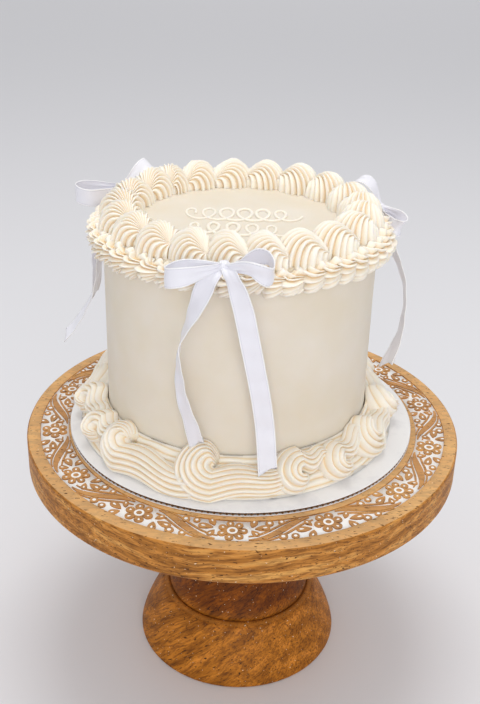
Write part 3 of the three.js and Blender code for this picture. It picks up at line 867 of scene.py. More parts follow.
@dataclass
class TopBorder(ShellRow):
    """Ring of large shells piped along the rim of the cake's top.

    angles are those of the shells' highest points. The ridges meet on the outer side of the shell at
    outermost_meeting and on the inner side across the cake, so that each shell turns as the hand did.
    """

    piece: str = "top_shells"
    node: str = "top_border"
    shells_a_piece: int = 7
    seed: int = 11
    angles: tuple[float, ...] = (
        -129, -112, -96, -80.5, -65, -46.5, -26.5, -10, 4, 18.5,
        39, 57.5, 76, 94, 113, 130, 141, 160, 178, 197, 214,
    )
    ring_radius: float = 65.3
    overlap: float = 8
    apex_before_pivot: float = 2
    hang_over_edge: float = 5
    outermost_meeting: float = -60
    meeting_aside: float = 0.6
    swirl: float = 0.35
    size_spread: tuple[float, float] = (-0.03, 0.02)
    twist_spread: float = 0.12
    radius_spread: float = 0.4
    yaw_spread: float = 6
    form: PipedShell = PipedShell(
        back=12.6, front=0, up=15.2, down=6, half_width=13, ridges=20, depth=2.9, meeting=0.75
    )

    def skins(self) -> list[Skin]:
        """Makes the shells, each up to the next one.

        Returns:
            One skin for each shell, in order round the ring.
        """
        draw = np.random.default_rng(self.seed)
        made = []
        for apex, following in zip(self.angles, (*self.angles[1:], self.angles[0] + 360)):
            pitch = math.radians(following - apex) * self.ring_radius
            angle = apex + math.degrees(self.apex_before_pivot / self.ring_radius)
            facing = -math.cos(math.radians(angle - self.outermost_meeting))
            form = replace(
                self.form,
                front=pitch - self.form.back + self.overlap,
                meeting_aside=self.meeting_aside * facing,
                swirl=self.swirl * facing,
                size=1 + draw.uniform(*self.size_spread),
                twist=draw.uniform(-self.twist_spread, self.twist_spread),
            )
            radius = self.ring_radius + draw.uniform(-self.radius_spread, self.radius_spread)
            yaw = angle + draw.uniform(-self.yaw_spread, self.yaw_spread)
            origin = self.cake.at(angle, radius, self.table + CLEARANCE)
            skin = form.skin((origin, tangent_at(yaw), -outward_at(yaw), UP), draw)
            # Inside the rim the foot lies on the top, and past it the cream hangs over the edge.
            beyond = np.linalg.norm(skin.points[:, :2] - self.cake.centre[:2], axis=1) - self.cake.radius
            lowest = self.table + CLEARANCE - 0.4 - self.hang_over_edge * smoothstep(0.3, 2, beyond)
            skin.points[:, 2] = np.maximum(skin.points[:, 2], lowest)
            made.append(skin)
        return made


@dataclass
class EdgeBorder(ShellRow):
    """Row of small shells along the upper edge of the wall.

    drop is how far they sit under the top. They lie in the shade of the large shells, which is painted into
    their colour: their crests reach only a share of those shells' whiteness.
    """

    piece: str = "edge_shells"
    node: str = "edge_border"
    shells_a_piece: int = 16
    seed: int = 23
    count: int = 48
    drop: float = 6.0
    head_share: float = 0.45
    shaded_whiteness: float = 0.85
    angle_spread: float = 0.6
    height_spread: float = 0.6
    size_range: tuple[float, float] = (0.93, 1.06)
    twist_range: tuple[float, float] = (0.0, 0.3)
    overhang_range: tuple[float, float] = (0.15, 0.3)
    form: PipedShell = PipedShell(
        back=5.6, front=14, up=9.0, down=0.1, half_width=7.3, ridges=11, depth=3.2, meeting=0.9,
        tail_drop=0.75, squareness=2.6, both_sides=False, samples_per_ridge=9, steps_up=26, sharpness=1.7,
        unevenness=0.4,
    )

    def skins(self) -> list[Skin]:
        """Makes the shells, evenly but for the hand's small slips.

        Returns:
            One skin for each shell, in order round the row.
        """
        draw = np.random.default_rng(self.seed)
        pitch = 360 / self.count
        made = []
        for i in range(self.count):
            angle = pitch * (i + self.head_share) + draw.uniform(-self.angle_spread, self.angle_spread)
            form = replace(
                self.form,
                size=draw.uniform(*self.size_range),
                twist=draw.uniform(*self.twist_range),
                overhang=draw.uniform(*self.overhang_range),
            )
            height = self.table - self.drop + draw.uniform(-self.height_spread, self.height_spread)
            origin = self.cake.at(angle, self.cake.radius + CLEARANCE, height)
            skin = form.skin((origin, tangent_at(angle), UP, outward_at(angle)), draw)
            # Painted shade of the large shells above: the crests keep only a share of their whiteness.
            skin.marks["crest"] *= self.shaded_whiteness
            made.append(skin)
        return made


@dataclass(frozen=True)
class Scroll:
    """One reversed shell of the base border, at an angle round the cake.

    pivot is the curl's middle above the middle of the slope, radius its reach, and reaches the share
    of that at its start, first quarter, half and end. The tail shrinks by a share and rises by
    tail_lift on its way to the next scroll.
    """

    angle: float
    curl: Curl
    radius: float = 19.0
    pivot: float = 4.5
    reaches: tuple[float, float, float, float] = (0.25, 0.7, 1.0, 0.92)
    shrink: float = 0.3
    tail_lift: float = 3.0


@dataclass
class BaseBorder:
    """Scrolled border piped in the corner between cake and board, with one star nozzle.

    It lies on a slope of cream, width out from the wall and height up it. Each scroll's ridges turn
    round its pivot from start_bearing and then run on side by side as its tail. The height falls from
    head_rise to tail_rise over the stretch of the path that fall gives. pressed_trace is the depth of
    relief that is left where the cream is pressed on the wall or the board.
    """

    cake: Round
    floor: float
    seed: int = 37
    scrolls: tuple[Scroll, ...] = (
        Scroll(-150, Curl.OUT, radius=15, pivot=-1, shrink=0.1),
        Scroll(-134, Curl.IN, radius=20, pivot=5, shrink=0.15, reaches=(0.25, 0.6, 0.9, 0.95), tail_lift=-1),
        Scroll(-97, Curl.IN, radius=23, pivot=5, shrink=0.3, reaches=(0.25, 0.8, 1.0, 0.84)),
        Scroll(
            -65, Curl.OUT, radius=17, pivot=-0.5, shrink=0.45, reaches=(0.3, 0.78, 1.0, 0.85), tail_lift=0
        ),
        Scroll(-48, Curl.OUT, radius=14, pivot=-2, shrink=0.1, reaches=(0.35, 0.8, 1.0, 0.9), tail_lift=-2),
        Scroll(-27, Curl.IN, radius=18),
        Scroll(0, Curl.OUT, radius=16, pivot=-1),
        Scroll(30, Curl.IN),
        Scroll(62, Curl.OUT, radius=16, pivot=-1),
        Scroll(96, Curl.IN),
        Scroll(128, Curl.OUT, radius=16, pivot=-1),
        Scroll(160, Curl.IN),
        Scroll(188, Curl.OUT, radius=16, pivot=-1),
    )
    width: float = 16.2
    height: float = 18.5
    head_path: float = 45
    head_rise: float = 11.5
    tail_rise: float = 7.0
    tail_sway: float = 2.6
    tail_short_of_next: float = 5
    pivot_gap: float = 0.4
    start_bearing: float = 70
    turn: float = 200
    fall: tuple[float, float] = (25, 62)
    foot_shares: tuple[float, float, float] = (0.92, 0.5, 0.08)
    ridge_pitch: float = 3.1
    depth: float = 2.4
    sharpness: float = 1.15
    overhang: float = 0.3
    unevenness: float = 0.45
    wave: float = 0.24
    wave_lengths: tuple[float, float] = (2.7, 5.9)
    pressed_trace: float = 0.12
    torn: float = 0.11
    bed_rise: float = -2.0
    bed_ridges: int = 7
    foot_depth: float = -9.0
    samples_per_ridge: int = 8
    steps_round: int = 80
    steps_along: int = 50

    @property
    def slope(self) -> float:
        """Length of the slope from the board to the wall."""
        return math.hypot(self.width, self.height)

    @property
    def middle_radius(self) -> float:
        """Distance of the slope's middle from the axis."""
        return self.cake.radius + CLEARANCE + self.width / 2

    def on_slope(self, angle: float, s: np.ndarray, b: np.ndarray, h: np.ndarray) -> np.ndarray:
        """Points on the slope of cream.

        Args:
            angle: Angle of the scroll's middle.
            s: Distance round the cake.
            b: Distance up the slope from the board.
            h: Height out of the slope.

        Returns:
            Points, kept clear of the board and the wall.
        """
        inward, upward = self.width / self.slope, self.height / self.slope
        wall = self.cake.radius + CLEARANCE
        radius = wall + self.width - b * inward + h * upward
        height = self.floor + b * upward + h * inward
        # Past a limit the cream is pressed almost flat, and a trace of its relief is left.
        trace, floor = self.pressed_trace, self.floor
        radius = np.where(radius < wall, wall + trace * np.tanh(radius - wall), radius)
        height = np.where(height < floor, floor + trace * np.tanh(height - floor), height)
        return self.cake.at(angle + np.degrees(s / self.middle_radius), radius, height)

    def skin(self, scroll: Scroll, tail_length: float, draw: np.random.Generator) -> Skin:
        """One scroll as a closed skin.

        Args:
            scroll: Its place and form.
            tail_length: Length of the tail round the cake.
            draw: Seeded stream of random numbers.

        Returns:
            The skin, marked 1 on crests and 0 in grooves.
        """
        ridges = max(4, round(scroll.radius / self.ridge_pitch))
        head, tail = np.linspace(0, 1, self.steps_round), np.linspace(0, 1, self.steps_along)[1:]
        path = np.concatenate([head * self.head_path, self.head_path + tail * tail_length])[:, None]
        # How far the nozzle's outer edge is from the pivot, smoothed over 17 steps.
        grow = np.interp(head, (0, 0.25, 0.6, 1), scroll.reaches)
        grow = np.convolve(np.pad(grow, 8, mode="edge"), np.ones(17) / 17, mode="valid")
        shrink = scroll.reaches[-1] * (1 - scroll.shrink * smoothstep(0, 1, tail))
        scale = np.concatenate([grow, shrink])[:, None]
        reach = scroll.radius * scale
        turned = self.start_bearing + self.turn * np.concatenate([head, np.ones(len(tail))])
        bearing = np.radians(turned)[:, None]
        still = np.zeros(len(head))
        sway = scroll.tail_lift * smoothstep(0, 1, tail) + self.tail_sway * np.sin(2 * math.pi * tail)
        pivot_s = np.concatenate([still, tail_length * tail])[:, None]
        pivot_b = np.concatenate([still, sway])[:, None]
        share = np.linspace(0, 1, ridges * self.samples_per_ridge + 1)[None, :]
        own, phase = uneven_ridges(ridges * share, ridges, self.unevenness, draw)
        short, long = (path / length for length in self.wave_lengths)
        waves = self.wave * (np.sin(short + phase) + np.sin(long + 1.7 * phase))
        groove = grooved(ridges * share, self.sharpness) * np.ones_like(path)
        torn = draw.normal(0, self.torn, (len(path), share.shape[1])) * (1 - groove)
        swell = np.sin(math.pi * share**0.85) ** 0.6
        lower = -scroll.curl.value * np.sin(bearing)
        lean = self.overhang / ridges * np.cos(math.pi * ridges * share) ** 2
        slid = share + lean * lower * np.minimum(1, 3 * swell)
        slid = slid + 0.05 * np.sin(path / 8 + 3 * share) * share * (1 - share)
        rho = mix(self.pivot_gap, reach, np.clip(slid, 0, 1))
        rise = mix(self.head_rise, self.tail_rise, smoothstep(*self.fall, path))
        rise = rise * np.minimum(1, 0.15 + 1.2 * scale)
        height = rise * swell + (own + waves + torn) * swell
        height = height - self.depth * groove * np.minimum(1, 1.6 * swell) * np.minimum(1, scale * 1.3)
        foot = np.array([self.foot_shares]) * reach
        rho = np.concatenate([rho, foot], axis=1)
        height = np.concatenate([height, np.full(foot.shape, self.foot_depth)], axis=1)
        s = pivot_s + rho * np.cos(bearing)
        b = self.slope / 2 + scroll.pivot + scroll.curl.value * (pivot_b + rho * np.sin(bearing))
        crest = np.concatenate([1 - groove, np.zeros(foot.shape)], axis=1)
        return lofted(self.on_slope(scroll.angle, s, b, height), {"crest": crest})

    def bed(self) -> Skin:
        """Makes the rope of cream behind the scrolls, which fills the corner.

        Returns:
            The closed skin.
        """
        turn = np.linspace(0, 360, 361)[:-1, None]
        share = np.linspace(0, 1, self.bed_ridges * self.samples_per_ridge + 1)[None, :]
        groove = grooved(self.bed_ridges * share, self.sharpness) * np.ones_like(turn)
        swell = np.sin(math.pi * share) ** 0.6
        sway = 0.8 * np.sin(np.radians(11 * turn)) + 0.5 * np.sin(np.radians(23 * turn) + 9 * share)
        height = self.bed_rise * swell + (0.6 * sway - 0.7 * self.depth * groove) * swell
        b = self.slope * (0.97 - 0.94 * share) + sway * swell
        foot = np.array([[0.1, 0.5, 0.9]]) * self.slope * np.ones_like(turn)
        b = np.concatenate([b, foot], axis=1)
        height = np.concatenate([height, np.full(foot.shape, self.foot_depth)], axis=1)
        crest = np.concatenate([1 - groove, np.zeros(foot.shape)], axis=1)
        rings = self.on_slope(0, np.radians(turn) * self.middle_radius, b, height)
        return lofted(rings, {"crest": crest}, looped=True)

    def build(self, cream: bpy.types.Material) -> list[bpy.types.Object]:
        """Writes the bed and the scrolls.

        Args:
            cream: Finish of the border.

        Returns:
            The pieces.
        """
        draw = np.random.default_rng(self.seed)
        skins = []
        angles = [scroll.angle for scroll in self.scrolls]
        for scroll, following in zip(self.scrolls, (*angles[1:], angles[0] + 360)):
            tail = math.radians(following - scroll.angle) * self.middle_radius - self.tail_short_of_next
            skins.append(self.skin(scroll, tail, draw))
        half = len(skins) // 2
        parts = (
            ("base_bed", self.bed()),
            ("base_scrolls_1", joined(skins[:half])),
            ("base_scrolls_2", joined(skins[half:])),
        )
        return [write_piece(name, skin, cream, Slot.CREAM, "base_border") for name, skin in parts]


# Cake


@dataclass(frozen=True)
class FlourishRow:
    """A row of running loops on the cake's top, between two places from the cake's middle."""

    start: tuple[float, float]
    end: tuple[float, float]
    height: float
    loops: int


@dataclass
class CakeBody:
    """The smoothed cake and the thread piped on its top.

    loop_width_share is the width of a loop of thread as a share of its height.
    """

    cake: Round
    segments: int = 128
    edge_round: float = 2.2
    bow_in: float = 0.25
    wobble: float = 0.1
    wall_steps: int = 40
    thread: float = 1.7
    thread_spread: float = 0.12
    loop_width_share: float = 0.62
    steps_a_loop: int = 44
    seed: int = 5
    rows: tuple[FlourishRow, ...] = (
        FlourishRow((-30, 5), (29, 4), 10, 6),
        FlourishRow((-27, -18), (24, -21), 9, 5),
    )

    def body(self) -> Skin:
        """Makes the cake with its rounded upper edge and a wall that bows in a little.

        Returns:
            The closed skin.
        """
        bottom, top, radius = self.cake.bottom, self.cake.top, self.cake.radius - self.wobble
        heights = np.linspace(bottom, top - self.edge_round, self.wall_steps)
        dents = self.bow_in * np.sin(np.linspace(0, math.pi, self.wall_steps))
        wall = [(radius - dent, height) for dent, height in zip(dents, heights)]
        edge = rounded_corner(radius, top, self.edge_round, 6, True)[1:]
        table = [(r, top) for r in np.linspace(self.cake.radius - 4, 6, 14)]
        outline = [(0, bottom), *wall, *edge, *table, (0, top)]
        return lathed(outline, self.segments, self.cake.centre, self.wobble)

    def thread_row(self, row: FlourishRow, draw: np.random.Generator) -> Skin:
        """One row of running loops.

        Args:
            row: Its place and size.
            draw: Seeded stream of random numbers.

        Returns:
            The thread as a closed skin.
        """
        turns = np.linspace(0, row.loops, self.steps_a_loop * row.loops)
        swing = 2 * math.pi * turns
        grow = mix(0.75, 1, np.sin(math.pi * turns / row.loops))
        x = mix(row.start[0], row.end[0], turns / row.loops)
        x = x + self.loop_width_share * row.height * grow * np.cos(swing)
        y = mix(row.start[1], row.end[1], turns / row.loops) + row.height * grow * np.sin(swing)
        centre = self.cake.centre[:2] + np.stack([x, y], axis=1)
        along = unit(np.gradient(centre, axis=0))
        aside = np.stack([-along[:, 1], along[:, 0]], axis=1)
        around = np.linspace(0, 2 * math.pi, 12, endpoint=False)
        swell = np.interp(turns, np.arange(row.loops + 1), draw.normal(0, 1, row.loops + 1))
        thick = self.thread / 2 * (1 + self.thread_spread * swell)
        out = thick[:, None] * np.cos(around)[None, :]
        # The thread is a little taller than wide and sinks into the top.
        rise = thick[:, None] * (0.45 + 0.8 * np.sin(around)[None, :])
        level = self.cake.top + np.maximum(rise, -0.2)
        flat = centre[:, None, :] + aside[:, None, :] * out[..., None]
        return lofted(np.concatenate([flat, level[..., None]], axis=2), {"crest": 0.75 * np.ones_like(level)})

    def build(self, smoothed: bpy.types.Material, piped: bpy.types.Material) -> list[bpy.types.Object]:
        """Writes the cake and the thread.

        Args:
            smoothed: Finish of wall and top.
            piped: Finish of the thread.

        Returns:
            The pieces.
        """
        draw = np.random.default_rng(self.seed)
        rows = joined([self.thread_row(row, draw) for row in self.rows])
        return [
            write_piece("cake_coat", self.body(), smoothed, Slot.PALE_CREAM, "cake_body"),
            write_piece("piped_flourish", rows, piped, Slot.PALE_CREAM, "cake_body"),
        ]


@dataclass
class CakeBoard:
    """Round board: two sheets of white paper on a corrugated core that shows at the cut edge."""

    disc: Round
    segments: int = 256
    core_segments: int = 128
    liner: float = 0.45
    core_inset: float = 1.3
    flute_pitch: float = 3.2
    flute_inset: float = 0.25
    flute_depth: float = 1.6
    flute_half_thickness: float = 0.16

    def sheet(self, low: float, high: float) -> Skin:
        """Makes one paper face with soft edges.

        Args:
            low: Height of its underside.
            high: Height of its upper side.

        Returns:
            The closed skin.
        """
        rim = self.disc.radius
        outline = [(0, low), (rim - 0.15, low), (rim, low + 0.1), (rim, high - 0.1), (rim - 0.1, high)]
        return lathed([*outline, (rim - 1, high), (60, high), (0, high)], self.segments, self.disc.centre)

    def core(self, low: float, high: float) -> Skin:
        """Makes the dark core, painted shadow between the flutes, and the wave of kraft paper at the rim.

        Args:
            low: Height of its underside.
            high: Height of its upper side.

        Returns:
            The skin, marked 1 on the wave and 0 on the core.
        """
        rim = self.disc.radius - self.core_inset
        # A dark disc behind the wave stands for the shade between the flutes and takes the painted shadow
        # colour.
        core = lathed([(0, low), (rim, low), (rim, high), (0, high)], self.core_segments, self.disc.centre)
        core.marks["crest"] = np.zeros(len(core.points))
        count = round(2 * math.pi * self.disc.radius / self.flute_pitch)
        turn = np.linspace(0, 360, count * 8, endpoint=False)
        wave = mix(low, high, 0.5 + 0.42 * np.sin(np.radians(count * turn)))
        half, reach = self.flute_half_thickness, self.disc.radius - self.flute_inset
        corners = [(-self.flute_depth, -half), (0, -half), (0, half), (-self.flute_depth, half)]
        rings = np.stack(
            [self.disc.at(turn, np.full_like(turn, reach + out), wave + up) for out, up in corners], axis=1
        )
        return joined([core, lofted(rings, {"crest": np.ones(rings.shape[:2])}, looped=True)])

    def build(self, paper: bpy.types.Material, kraft: bpy.types.Material) -> list[bpy.types.Object]:
        """Writes both faces and the fluted edge.

        Args:
            paper: Finish of the faces.
            kraft: Finish of the core.

        Returns:
            The pieces.
        """
        low, high = self.disc.bottom + self.liner, self.disc.top - self.liner
        parts = (
            ("board_top_paper", self.sheet(high, self.disc.top), paper),
            ("board_bottom_paper", self.sheet(self.disc.bottom, low), paper),
            ("board_flutes", self.core(low, high), kraft),
        )
        return [write_piece(name, skin, finish, Slot.BOARD, "cake_board") for name, skin, finish in parts]


# Stand


@dataclass
class CarvedPlate:
    """Thick turned plate with a carved, whitened band of flowers on a waving vine.

    The motif of one flower is drawn with x round the ring and y outwards from the band's middle, and
    every other one is turned over, which makes the vine wave. A leaf is its stem's x and y, heading,
    length and width, a berry its x, y and radius, and a stem its four guide points and half width. A
    sunk size is how far a face lies under the plate's.
    """

    plate: Round
    segments: int = 256
    bevel: float = 1.6
    lower_bevel: float = 2.0
    band_inner: float = 103
    band_outer: float = 119.3
    depth: float = 0.8
    ground_below: float = 0.2
    ground_above: float = 0.12
    flowers: int = 14
    phase: float = -169
    seed: int = 3
    flower_reach: float = 7.8
    flower_notch: float = 3.3
    ring_radius: float = 2.7
    centre_radius: float = 1.5
    petal_dot_from: float = 4.6
    petal_dot_length: tuple[float, float] = (1.2, 2.0)
    petal_dot_width: float = 1.4
    stem_spread: tuple[float, float] = (0.9, 1.1)
    leaf_swing: float = 8
    paint_depth: float = 0.3
    stem_sunk: float = 0.18
    leaf_sunk: float = 0.12
    berry_sunk: float = 0.1
    flower_sunk: float = 0.07
    dot_sunk: float = 0.05
    petal_dot_sunk: float = 0.04
    ring_sunk: float = 0.03
    stems: tuple[tuple[tuple[tuple[float, float], ...], float], ...] = (
        (((8, -7.0), (20, -7.0), (30, 7.0), (42, 7.0)), 1.9),
        (((13, -7.8), (25, -7.4), (32, 3.0), (43, 4.4)), 0.6),
        (((8, -4.2), (16, -4.0), (26, 7.4), (36, 7.6)), 0.6),
    )
    leaves: tuple[tuple[float, float, float, float, float], ...] = (
        (10.0, 3.0, 70, 6.6, 5.2), (11.5, 1.8, 8, 8.0, 5.4), (9.5, 0.4, -52, 5.6, 4.2),
        (40.0, -2.0, 178, 8.0, 5.4), (41.0, 0.2, 122, 5.4, 4.2), (40.5, -3.6, -122, 6.0, 5.0),
    )
    berries: tuple[tuple[float, float, float], ...] = (
        (24.5, -5.4, 2.3), (30.4, -5.9, 2.0), (19.6, 5.9, 2.3), (26.2, 6.2, 1.9),
    )

    @property
    def middle(self) -> float:
        """Radius of the band's middle."""
        return (self.band_inner + self.band_outer) / 2

    def body(self) -> Skin:
        """Makes the turned plate with its sunk band.

        Returns:
            The closed skin.
        """
        low, high, radius = self.plate.bottom, self.plate.top, self.plate.radius
        floor = high - self.depth
        outline = [(0, low), (40, low), (radius - 8, low)]
        outline += rounded_corner(radius, low, self.lower_bevel, 5, False)
        outline += [(radius, mix(low, high, share)) for share in (0.3, 0.5, 0.7)]
        outline += rounded_corner(radius, high, self.bevel, 5, True)
        outline += [(radius - 4, high), (self.band_outer + 0.2, high), (self.band_outer, high - 0.2)]
        outline += [(self.band_outer, floor), (self.band_inner, floor), (self.band_inner, high - 0.2)]
        outline += [(self.band_inner - 0.2, high), (90, high), (0, high)]
        return lathed(outline, self.segments, self.plate.centre)

    def ground(self) -> Skin:
        """Makes the whitened floor of the band.

        Returns:
            The closed skin.
        """
        floor = self.plate.top - self.depth
        low, high = floor - self.ground_below, floor + self.ground_above
        turn = np.linspace(0, 360, self.segments, endpoint=False)
        inner, outer = self.band_inner, self.band_outer
        corners = ((inner, low), (outer, low), (outer, high), (inner, high))
        rings = [self.plate.at(turn, np.full_like(turn, r), np.full_like(turn, z)) for r, z in corners]
        return lofted(np.stack(rings, axis=1), looped=True)

    def pad(self, outline: np.ndarray, angle: float, side: int, sunk: float, foot: float) -> Skin:
        """A flat raised shape in the band.

        Args:
            outline: Points as distance round the ring and distance outwards from its middle.
            angle: Angle of the shape's zero.
            side: 1 as drawn, -1 turned over to the other side of the band.
            sunk: Depth of its face under the plate's face.
            foot: Depth of its foot under the plate's face.

        Returns:
            The pad as a closed skin.
        """
        radius = self.middle + side * outline[:, 1]
        turn = angle + np.degrees(outline[:, 0] / self.middle)
        levels = [np.full_like(radius, self.plate.top - depth) for depth in (foot, sunk)]
        rings = np.stack([self.plate.at(turn, radius, level) for level in levels])
        count = len(outline)
        faces = [tuple(range(count)), tuple(range(2 * count - 1, count - 1, -1))]
        faces += [(i, count + i, count + (i + 1) % count, (i + 1) % count) for i in range(count)]
        skin = Skin(rings.reshape(-1, 3), faces)
        if skin.volume() < 0:
            skin.faces = [face[::-1] for face in faces]
        return skin

    @staticmethod
    def flower(reach: float, notch: float, petals: int) -> np.ndarray:
        """Outline of a flower of round petals about its own centre.

        Args:
            reach: Radius at a petal's tip.
            notch: Radius between petals, the same as reach for a plain disc.
            petals: Number of petals.

        Returns:
            The outline's points.
        """
        turn = np.linspace(0, 2 * math.pi, petals * 10, endpoint=False)
        radius = notch + (reach - notch) * np.abs(np.cos(petals * turn / 2)) ** 0.4
        return np.stack([radius * np.cos(turn), radius * np.sin(turn)], axis=1)

    @staticmethod
    def drop(x: float, y: float, heading: float, length: float, width: float) -> np.ndarray:
        """Outline of a drop-shaped leaf.

        Args:
            x: Place of its stem round the ring.
            y: Place of its stem outwards.
            heading: Way it points.
            length: Its length.
            width: Its largest width.

        Returns:
            The outline's points.
        """
        turn = np.linspace(0, 2 * math.pi, 18, endpoint=False)
        along = length * (1 - np.cos(turn)) / 2
        aside = width / 2 * np.sin(turn) * np.sin(turn / 2) ** 0.8
        cos, sin = math.cos(math.radians(heading)), math.sin(math.radians(heading))
        return np.stack([x + along * cos - aside * sin, y + along * sin + aside * cos], axis=1)

    @staticmethod
    def stroke(ends: Sequence[tuple[float, float]], half: float, tip: float = 0.35) -> np.ndarray:
        """Outline of a curved stem that is broad in its middle.

        Args:
            ends: Four guide points of its curve.
            half: Half its width in the middle.
            tip: Half its width at the ends.

        Returns:
            The outline's points.
        """
        t = np.linspace(0, 1, 18)[:, None]
        first, second, third, fourth = np.array(ends, float)
        line = (
            (1 - t) ** 3 * first
            + 3 * (1 - t) ** 2 * t * second
            + 3 * (1 - t) * t**2 * third
            + t**3 * fourth
        )
        along = unit(np.gradient(line, axis=0))
        aside = np.stack([-along[:, 1], along[:, 0]], axis=1) * (tip + (half - tip) * np.sin(math.pi * t))
        return np.concatenate([line + aside, (line - aside)[::-1]])

    def carving(self) -> tuple[Skin, Skin]:
        """Makes the flowers, stems, leaves and berries.

        Returns:
            The raised wood and the whitened dots in it, each as one skin of many pads.
        """
        draw = np.random.default_rng(self.seed)
        raised, inlaid = [], []
        pitch = 360 / self.flowers
        for i in range(self.flowers):
            angle, side = self.phase + i * pitch, 1 if i % 2 == 0 else -1

            def lay(pads: list[Skin], outline: np.ndarray, sunk: float, foot: float) -> None:
                """Adds a pad of this motif to a list."""
                pads.append(self.pad(outline, angle, side, sunk, foot))

            petals = 6 + i % 2
            head = self.flower(self.flower_reach, self.flower_notch, petals)
            lay(raised, head, self.flower_sunk, self.depth)
            lay(inlaid, self.flower(self.ring_radius, self.ring_radius, 3), self.ring_sunk, self.paint_depth)
            lay(raised, self.flower(self.centre_radius, self.centre_radius, 3), 0.0, self.paint_depth)
            for heading in (360 * k / petals for k in range(petals)):
                x = self.petal_dot_from * math.cos(math.radians(heading))
                y = self.petal_dot_from * math.sin(math.radians(heading))
                dot = self.drop(x, y, heading, draw.uniform(*self.petal_dot_length), self.petal_dot_width)
                lay(inlaid, dot, self.petal_dot_sunk, self.paint_depth)
            for ends, half in self.stems:
                stem = self.stroke(ends, half * draw.uniform(*self.stem_spread))
                lay(raised, stem, self.stem_sunk, self.depth)
            for x, y, heading, length, width in self.leaves:
                heading = heading + draw.uniform(-self.leaf_swing, self.leaf_swing)
                lay(raised, self.drop(x, y, heading, length, width), self.leaf_sunk, self.depth)
                x += 0.5 * length * math.cos(math.radians(heading))
                y += 0.5 * length * math.sin(math.radians(heading))
                dot = self.drop(x, y, heading, 0.3 * length, 0.26 * width)
                lay(inlaid, dot, self.dot_sunk, self.paint_depth)
            for x, y, radius in self.berries:
                lay(raised, np.array([x, y]) + self.flower(radius, radius, 3), self.berry_sunk, self.depth)
                dot = np.array([x, y]) + self.flower(0.42 * radius, 0.42 * radius, 3)
                lay(inlaid, dot, self.dot_sunk, self.paint_depth)
        return joined(raised), joined(inlaid)

    def build(
        self, wood: bpy.types.Material, carved: bpy.types.Material, whitewash: bpy.types.Material
    ) -> list[bpy.types.Object]:
        """Writes plate, ground, carving and inlaid dots.

        Args:
            wood: Finish of the plate.
            carved: Finish of the raised carving.
            whitewash: Finish of the ground and the dots.

        Returns:
            The pieces.
        """
        raised, inlaid = self.carving()
        parts = (
            ("plate_wood", self.body(), wood, True),
            ("carved_ground", self.ground(), whitewash, True),
            ("carved_flowers", raised, carved, False),
            ("whitened_dots", inlaid, whitewash, False),
        )
        return [
            write_piece(name, skin, finish, Slot.WOOD, "stand_plate", smooth)
            for name, skin, finish, smooth in parts
        ]


@dataclass
class TurnedFoot:
    """Bell foot and waisted neck, turned from one block, with a fine scored groove between them.

    The neck is darkened, partly as darker oiled wood and partly as painted shade under the plate. It
    sets in at the lower of the two given heights and is full at the upper. The groove, whose bottom lies
    within scored_radius and scored_height, is darkened in full as a painted shadow line.
    """

    foot: Round
    segments: int = 160
    bell_height: float = 35
    bell_top_radius: float = 48.6
    bell_power: float = 1.4
    groove: tuple[tuple[float, float], ...] = (
        (48.0, 35.0), (46.2, 36.0), (45.0, 36.4), (44.5, 35.6), (43.9, 35.6), (44.0, 36.5), (44.3, 37.6),
    )
    neck_foot: tuple[float, float] = (44.5, 37.0)
    waist: tuple[float, float] = (36.0, 80.0)
    neck_top_radius: float = 50.0
    shade_and_oil_from: float = 30
    shade_and_oil_full: float = 44
    scored_radius: tuple[float, float] = (43, 44.7)
    scored_height: tuple[float, float] = (35, 36)

    def body(self) -> Skin:
        """Makes the foot.

        Returns:
            The skin, marked 1 where the colour is darkest, partly oil and partly painted shade: on
            the neck and in the groove.
        """
        radius, top = self.foot.radius, self.foot.top
        outline = [(0, 0), (radius - 4, 0), (radius - 1.2, 0.3), (radius - 0.3, 1.1)]
        for z in np.linspace(2, self.bell_height - 1, 17):
            outline.append((mix(radius, self.bell_top_radius, (z / self.bell_height) ** self.bell_power), z))
        outline += self.groove
        narrow, middle = self.waist
        for z in np.linspace(39, top, 40):
            flare, end = self.neck_foot if z < middle else (self.neck_top_radius, top)
            outline.append((mix(narrow, flare, ((z - middle) / (end - middle)) ** 2), z))
        skin = lathed([*outline, (0, top)], self.segments, self.foot.centre)
        distance = np.linalg.norm((skin.points - self.foot.centre)[:, :2], axis=1)
        height = skin.points[:, 2]
        scored = np.ones(len(height), bool)
        for value, (low, high) in ((distance, self.scored_radius), (height, self.scored_height)):
            scored &= (value > low) & (value < high)
        # Painted shade under the plate with the neck's darker oil, and a painted shadow line in the groove.
        skin.marks["stain"] = np.maximum(smoothstep(self.shade_and_oil_from, self.shade_and_oil_full, height), scored)
        return skin

    def build(self, wood: bpy.types.Material) -> list[bpy.types.Object]:
        """Writes the foot, and gives it as the only piece."""
        return [write_piece("turned_foot", self.body(), wood, Slot.DARK_WOOD, "stand_foot")]


# Ribbon


def through(points: np.ndarray, places: np.ndarray) -> np.ndarray:
    """Smooth curve through points, with easy tangents.

    Args:
        points: Points of the curve, one a row.
        places: Places on it, counted in points.

    Returns:
        A point for each place.
    """
    ends = np.concatenate([2 * points[:1] - points[1:2], points, 2 * points[-1:] - points[-2:-1]])
    index = np.clip(places.astype(int), 0, len(points) - 2)
    share = (places - index)[:, None]
    p = [ends[index + k] for k in range(4)]
    d = [np.maximum(np.linalg.norm(p[k + 1] - p[k], axis=1, keepdims=True) ** 0.5, 1e-4) for k in range(3)]
    t1 = ((p[1] - p[0]) / d[0] - (p[2] - p[0]) / (d[0] + d[1]) + (p[2] - p[1]) / d[1]) * d[1]
    t2 = ((p[2] - p[1]) / d[1] - (p[3] - p[1]) / (d[1] + d[2]) + (p[3] - p[2]) / d[2]) * d[1]
    a = 2 * p[1] - 2 * p[2] + t1 + t2
    b = -3 * p[1] + 3 * p[2] - 2 * t1 - t2
    return ((a * share + b) * share + t1) * share + p[1]


